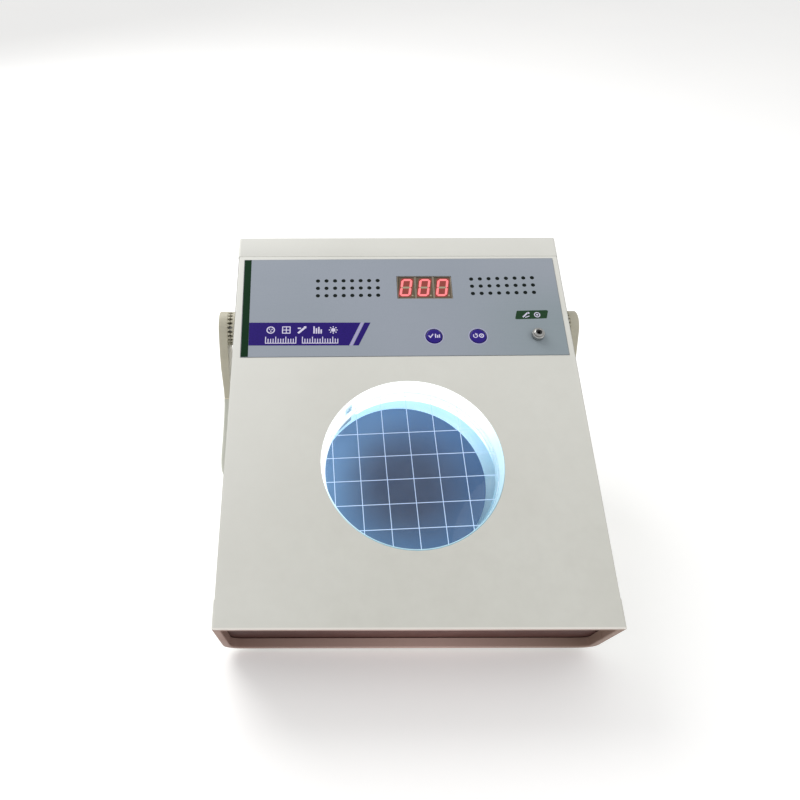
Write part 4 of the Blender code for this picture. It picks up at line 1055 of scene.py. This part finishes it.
def lamp_tube():
    """Tube bent round the window, open where its holder is, with narrowed ends."""
    ring_radius, tube, height, start, end = 63.2, 6.26, 33.0, 144.6, 485.4
    steps, sides = 120, 28
    narrow, past = tube * 0.62, math.degrees(1.4 / ring_radius)
    stations = [(start - past, narrow)]
    stations += [(start + (end - start) * k / steps, tube) for k in range(steps + 1)]
    stations += [(end + past, narrow)]
    rings = []
    for degrees, r in stations:
        t = math.radians(degrees)
        around_tube = [2 * math.pi * j / sides for j in range(sides)]
        rings.append([((ring_radius + r * math.cos(a)) * math.cos(t),
                       (ring_radius + r * math.cos(a)) * math.sin(t),
                       height + r * math.sin(a)) for a in around_tube])
    return skinned(rings)


piece("lamp_ring", lamp_tube(), "opal_lamp_glass", "lamp_glass", "ring_lamp", space=WINDOW)
HOLDER_TURN = (0, 0, math.radians(135))
holder = spun(block((57.5, -6.5, 26.0), (69.0, 6.5, 40.3)), turn=HOLDER_TURN)
piece("lamp_holder", holder, "white_gloss_moulding", "white_plastic", "lamp_socket",
      space=WINDOW, edge=0.9, steps=3)
slots = [spun(flat([rect(x, -3.6, x + 1.1, 3.6, 0.4)], 40.2, 40.4), turn=HOLDER_TURN)
         for x in (59.0, 61.2, 63.4)]
piece("lamp_holder_slots", joined(*slots), "perforation_mesh", "white_plastic", space=WINDOW)

# Plate catch: a small moulded tab on the bezel's wall, with three pressed lines.
CATCH_TURN = (0, 0, math.radians(134.5))
tab = spun(block((54.9, -3.1, 48.3), (56.0, 3.1, 56.2)), turn=CATCH_TURN)
piece("plate_catch", tab, "catch_moulding", "white_plastic", space=WINDOW, edge=0.4, steps=3)
lines = [spun(block((54.75, -a, z), (55.1, b, z + 0.75)), turn=CATCH_TURN)
         for z, a, b in ((49.8, 2.1, 1.5), (51.6, 1.3, 2.3), (53.4, 2.1, 0.7))]
piece("plate_catch_lines", joined(*lines), "catch_line_moulding", "white_plastic", space=WINDOW,
      edge=0.1)

# ---- feet and case screws ------------------------------------------------------------------
foot = [(0, -0.3), (7.5, -0.3, 0.2), (7.4, -1.0, 0.4), (6.1, -4.9, 0.3), (5.2, -5.0, 0.3),
        (2.6, -5.0, 0.2), (2.2, -3.6, 0.3), (0, -3.6)]
for end, y in (("front", 14), ("rear", 262)):
    for side, sign in SIDES:
        piece(f"pad_{end}_{side}", turned(rounded(foot), 56), "foot_rubber", "rubber_black",
              f"foot_{end}_{side}", space=at(sign * 95, y))


def cross_head(rows, head, up, size, deep):
    """Turned screw with a cross recess in its head; up is +1 or -1."""
    low, high = sorted((head - up * deep, head + up * 1.0))
    slot = 0.42                  # half the width of the recess's arms
    return carved(turned(rounded(rows, 3), 40), block((-size, -slot, low), (size, slot, high)),
                  block((-slot, -size, low), (slot, size, high)))


screw = [(0, 46), (1.6, 44.5, 0.2), (1.6, 5.7, 0.1), (3.2, 5.7, 0.1), (3.2, 4.3, 0.4),
         (2.2, 3.45, 0.4), (0, 3.4)]
for i, (x, y) in enumerate(((-100, 30), (100, 30), (-100, 245), (100, 245)), 1):
    piece(f"shell_screw_{i}", cross_head(screw, head=3.4, up=-1, size=1.6, deep=1.1),
          "zinc_plating", "plated_steel", f"case_screw_{i}", space=at(x, y))


# ---- rear fittings -------------------------------------------------------------------------
def rear_plate(outlines, front, rear):
    """Outlines in (x, height), filled from front to rear in Y."""
    return spun(flat(outlines, -rear, -front), turn=(QUARTER, 0, 0))


mouth = rounded([(48, 21.8), (72, 21.8), (72, 33.5), (67.5, 38.2), (52.5, 38.2), (48, 33.5)],
                closed=True, radius=1.0)
inlet = carved(rear_plate([around(INLET_X, MID_Z, 25, 11.3, 3.0, 6)], REAR + 0.3, REAR + 2.7),
               rear_plate([around(INLET_X, MID_Z, 13.5, 9.8, 1.2)], 254.0, REAR + 1.2),
               op="UNION")
fixings = [rear_plate([circle(INLET_X + sign * 20, MID_Z, 1.9, 32)], 266, 280)
           for _, sign in SIDES]
piece("inlet_frame", carved(inlet, rear_plate([mouth], 258.0, 280.0), *fixings),
      "black_moulding", "black_plastic", "mains_inlet", edge=0.3)
pins = [rear_plate([around(INLET_X + dx, MID_Z + dz, 1, 2, 0.4)], 257.5, 271.3)
        for dx, dz in ((-7, -2), (0, 3), (7, -2))]
piece("inlet_pins", joined(*pins), "brass_contact", "plated_steel", edge=0.2)
screw = [(0, 277.0), (1.9, 276.8, 0.5), (2.8, 275.9, 0.3), (2.8, 275.2, 0.1), (1.5, 275.2, 0.1),
         (1.5, 265, 0.2), (0, 265)]
for side, sign in SIDES:
    piece(f"inlet_fixing_{side}", cross_head(screw, head=277.0, up=1, size=1.5, deep=1.0),
          "zinc_plating", "plated_steel", f"inlet_screw_{side}",
          space=at(INLET_X + sign * 20, 0, MID_Z, TO_Y))

piece("switch_frame", of_node("switch_housing"), "black_moulding", "black_plastic",
      "switch_housing", edge=0.25, steps=3)
# Rocker's side view: Y, Z, corner radius.
rocker = [(3.6, -7.4, 0.3), (3.6, -6.6, 0.8), (2.1, 0, 6.0), (3.6, 6.6, 0.8), (3.6, 7.4, 0.3),
          (-1.5, 7.2, 0.5), (-5.0, 1.5, 0.6), (-5.0, -1.5, 0.6), (-1.5, -7.2, 0.5)]
piece("rocker_paddle", spun(flat([rounded(rocker, 5, closed=True)], -5.1, 5.1), turn=STOOD),
      "black_moulding", "black_plastic", "power_rocker", body="rocker", space=ROCKER, edge=0.25)
marks = [spun(flat(outlines, -0.08, 0.05), 0, 2.95, sign * 3.9, (-QUARTER - sign * 0.22, 0, 0))
         for sign, outlines in ((1, [around(0, 0, 0.35, 1.6, 0.2)]),
                                (-1, [circle(0, 0, 1.5, 28), circle(0, 0, 0.95, 28)]))]
piece("rocker_marks", joined(*marks), "ink_pale", "black_plastic", body="rocker", space=ROCKER)

FUSE = at(FUSE_X, 0, MID_Z, TO_Y)
holder = [(0, 252), (4.6, 252, 0.2), (4.6, REAR + 1.8, 0.3), (8.0, REAR + 1.8, 0.6),
          (8.0, REAR + 0.3, 0.2), (6.1, REAR + 0.3, 0.2), (6.1, 250, 0.6), (0, 250)]
piece("fuse_body", turned(rounded(holder, 3), 64), "black_moulding", "black_plastic",
      "fuse_holder", space=FUSE)
cap = [(0, 277.4), (5.4, 277.4, 0.3), (6.2, 276.7, 0.4), (6.2, REAR + 2.1, 0.2),
       (4.3, REAR + 2.1, 0.1), (4.3, 256, 0.3), (0, 256)]
flutes = [spun(block((5.95, -0.25, REAR + 2.4), (6.5, 0.25, 276.5)),
               turn=(0, 0, 2 * math.pi * k / 24)) for k in range(24)]
knob = carved(turned(rounded(cap)), joined(*flutes), block((-4.6, -0.7, 276.0), (4.6, 0.7, 279)))
piece("fuse_knob_cap", knob, "black_moulding", "black_plastic", "fuse_cap", body="fuse_knob",
      space=FUSE)

# ---- handle --------------------------------------------------------------------------------
# Drawn about the hubs' axis: X across, Y along the arms, Z through their width.
ARM_END, ARM_HALF, ARM_LENGTH = 12.4, 9.5, 50   # radius round the hub, half width, reach


def teeth(base, root, crest):
    """Ring of radial teeth facing along X."""
    inner, outer, count = 8.4, 12.1, 24
    steps = ((0.0, root), (0.14, root), (0.38, crest), (0.62, crest), (0.86, root))
    spokes = [(2 * math.pi * (i + part) / count, x) for i in range(count) for part, x in steps]
    rings = [[(x if top else base, r * math.cos(a), r * math.sin(a)) for a, x in spokes]
             for r, top in ((inner, False), (inner, True), (outer, True), (outer, False))]
    return skinned(rings, looped=True)


def side_block(sign, inner, outer, near, far, half):
    """Block on one side of the handle: X, Y from near to far, Z half each way."""
    x0, x1 = sorted((sign * inner, sign * outer))
    return block((x0, near, -half), (x1, far, half))


def arm(sign, face):
    """Round-ended slab cut to the arm's bowed thickness and bored for the hub."""
    reach = math.degrees(math.acos((ARM_END - ARM_HALF) / ARM_LENGTH))
    outline = arc(0, 0, ARM_END, reach, 360 - reach, 61)
    outline += [(ARM_LENGTH, -ARM_HALF), (ARM_LENGTH, ARM_HALF)]
    slab = spun(flat([outline], -20, 20), x=sign * 125, turn=STOOD)
    # X, Y, corner radius.
    bow = [(128.4, -14), (128.4, 16, 9), (128.15, 27, 9), (127.5, 36, 9), (127.0, 43, 6),
           (126.7, 51), (122.6, 51), (122.3, 34, 9), (122.3, -14)]
    bow = [(sign * x, y) for x, y in rounded(bow, 5, closed=True)][::sign]
    # Radius, inner face, sides.
    bores = [spun(turned([(0, x), (r, x), (r, 135), (0, 135)], sides), turn=face)
             for r, x, sides in ((2.8, 120, 40), (6.5, 124.0, 48), (8.0, 126.8, 64))]
    return carved(carved(slab, flat([bow], -20, 20), op="INTERSECT"), *bores)


def arm_edge(middle):
    outer = abs(middle.x) > 126.2 and middle.y < 49.5
    return 0.8 if outer and math.hypot(middle.y, middle.z) > 9 else 0.25


boss = [(2.8, 118.2, 0.2), (12.4, 118.2, 0.5), (12.4, 114.7, 0.4), (10, 114.7, 0.2),
        (10, 111.1, 0.2), (13, 111.1, 0.4), (13, 108.3, 0.4), (2.8, 108.3, 0.2)]
cap = [(0, 128.8), (4.6, 128.75, 0.3), (5.0, 128.5, 0.2), (5.4, 128.75, 0.3), (7.0, 128.65, 0.4),
       (7.7, 128.0, 0.3), (7.7, 127.1, 0.1), (0, 127.1)]
PLASTIC = ("handle_moulding", "handle_abs")
SWUNG = dict(body="handle", space=HANDLE)
for side, s in SIDES:
    face = TO_X if s > 0 else TO_NEG_X
    piece(f"hub_{side}", turned(rounded(boss, closed=True)), *PLASTIC, f"hub_boss_{side}",
          space=at(*HUB, face))
    piece(f"hub_{side}_teeth", teeth(s * 117.6, s * 118.4, s * 120.1), *PLASTIC,
          space=at(*HUB), edge=0.12, limit=20)
    piece(f"arm_{side}", arm(s, face), *PLASTIC, f"handle_arm_{side}", **SWUNG,
          width=arm_edge, steps=4, limit=30)
    piece(f"arm_{side}_teeth", teeth(s * 122.9, s * 122.1, s * 120.4), *PLASTIC, **SWUNG,
          edge=0.12, limit=20)
    piece(f"arm_{side}_tongue", side_block(s, 123.1, 125.5, 48, 60, 5), *PLASTIC, **SWUNG,
          edge=0.3)
    piece(f"hub_{side}_cap", turned(rounded(cap), 72), *PLASTIC, f"hub_cap_{side}",
          body="handle", space=HANDLE @ place(turn=face))

for side, s in SIDES:
    # Outline drawn as (Z, X), its thickness along Y.
    lay = Matrix(((0, s, 0, 0), (0, 0, 1, 0), (1, 0, 0, 0), (0, 0, 0, 1)))
    collar = moved(flat([rect(-9.62, 122.5, 9.62, 126.82, 0.5)], 49.85, 50.4), lay)
    piece(f"arm_{side}_collar", collar, "collar_moulding", "handle_abs", **SWUNG, edge=0.12)


def grip():
    """Bar from arm to arm, thickening away from the arms, hollowed for their tongues."""
    # Centre line of the right leg: X, Y.
    leg = [(124.3, 50.3), (124.32, 51), (124.38, 54), (124.5, 57), (124.83, 62), (125.15, 67),
           (125.37, 73), (125.52, 78), (125.75, 84), (126.05, 89), (126.35, 93), (126.7, 97),
           (127.0, 101.5)] + arc(115.6, 106, 11.5, 0, 90, 15)
    path = leg + [(x, 117.5) for x in (110, 70, 30, 0, -30, -70, -110)]
    path += [(-x, y) for x, y in reversed(leg)]
    rings = []
    for i, (x, y) in enumerate(path):
        before, after = path[max(i - 1, 0)], path[min(i + 1, len(path) - 1)]
        along = Vector((after[0] - before[0], after[1] - before[1], 0)).normalized()
        outward = Vector((along.y, -along.x, 0))
        grow = min(1.0, max(0.0, (y - 60.0) / 38.0))
        grow = grow * grow * (3 - 2 * grow)
        inset = 0.35 if i in (0, len(path) - 1) else 0.0
        thick, wide = 5.6 + 4.4 * grow - 2 * inset, 18.4 - 1.4 * grow - 2 * inset
        corner = 1.6 + 2.4 * grow - inset
        ring = []
        for su, sv, start in ((1, 1, 0), (-1, 1, 90), (-1, -1, 180), (1, -1, 270)):
            for u, v in arc(su * (thick / 2 - corner), sv * (wide / 2 - corner), corner,
                            start, start + 90, 7):
                ring.append(Vector((x, y, 0)) + outward * u + Vector((0, 0, v)))
        rings.append(ring)
    sockets = [side_block(s, 122.8, 125.8, 49, 60.4, 5.3) for _, s in SIDES]
    return carved(skinned(rings), *sockets)


piece("grip_bar", grip(), "grip_moulding", "handle_abs", "handle_grip", **SWUNG, limit=40)

# ---- what stays as the CAD made it -----------------------------------------------------------
for material, names in {
    "zinc_plating": "board_screw_1 board_screw_2 pivot_screw_left pivot_screw_right "
                    "pivot_nut_left pivot_nut_right detent_spring_left detent_spring_right "
                    "lamp_clip",
    "white_gloss_moulding": "lamp_ballast",
    "black_moulding": "counter_chip buzzer tact_switch_test tact_switch_reset "
                      "key_plunger_test key_plunger_reset",
    "core_laminations": "transformer",
    "board_mask": "main_board",
    "cable_sheath": "board_cable lamp_lead",
}.items():
    for name in names.split():
        slots = NODES[name].data.materials
        slots.clear()
        slots.append(MATERIALS[material])

# ---- floor, light and camera -----------------------------------------------------------------
mat = Finish("floor_pale")
mat.set(Base_Color=mat.mix(mat.ramp(mat.noise(0.004, detail=2)), (0.95, 0.95, 0.945),
                           (0.935, 0.935, 0.935)),
        Roughness=0.75, Specular_IOR_Level=0.2, Emission_Color=(1.0, 1.0, 1.0),
        Emission_Strength=0.22)
bm = bmesh.new()
bmesh.ops.create_circle(bm, cap_ends=True, segments=96, radius=14.0)
mesh = as_mesh("floor", bm)
mesh.materials.append(MATERIALS["floor_pale"])
floor = linked("floor", mesh)
floor.location = (0, 0, -0.0002)

scene = bpy.context.scene
world = bpy.data.worlds.new("studio")
world.use_nodes = True
background = world.node_tree.nodes["Background"]
background.inputs[0].default_value = (1.0, 0.995, 0.985, 1)
background.inputs[1].default_value = 0.64
scene.world = world


def soft_box(name, where, to, size, watts, colour):
    """Round area light, placed and sized in metres, aimed at a point."""
    data = bpy.data.lights.new(name, "AREA")
    data.shape = "DISK"
    data.size = size
    data.energy = watts
    data.color = colour
    light = linked(name, data)
    light.location = where
    light.rotation_mode = "QUATERNION"
    light.rotation_quaternion = (Vector(to) - Vector(where)).to_track_quat("-Z", "Y")


soft_box("key", where=(-0.6, 0.7, 0.85), to=(0, 0.03, 0.06), size=1.0, watts=9.0,
         colour=(1.0, 0.995, 0.98))
soft_box("fill", where=(0.9, -0.5, 1.1), to=(0, 0, 0.05), size=1.2, watts=3.0,
         colour=(0.98, 0.99, 1.0))

scene.view_settings.view_transform = "Standard"
scene.view_settings.look = "None"

# The camera looks down by pitch, its place and angles square to the case.
EYE = Vector((-48.778, -80.461, 477.477))
pitch, yaw, roll = (math.radians(angle) for angle in (61.782, -0.034, -0.153))
level = math.cos(pitch)
ahead = Vector((math.sin(yaw) * level, math.cos(yaw) * level, -math.sin(pitch)))
right = Vector((math.cos(yaw), -math.sin(yaw), 0.0))
upward = right.cross(ahead)
right, upward = (right * math.cos(roll) + upward * math.sin(roll),
                 upward * math.cos(roll) - right * math.sin(roll))
basis = Matrix((right, upward, -ahead)).transposed()
lens = bpy.data.cameras.new("photo_view")
lens.sensor_width = 36.0
lens.lens = 33.12747
lens.shift_x = 0.087125
camera = linked("photo_view", lens)
camera.rotation_mode = "QUATERNION"
camera.rotation_quaternion = (Matrix.Rotation(LEAN, 3, "X") @ basis).to_quaternion()
camera.location = CASE @ EYE
lens.clip_start, lens.clip_end = 0.01, 100.0
scene.camera = camera
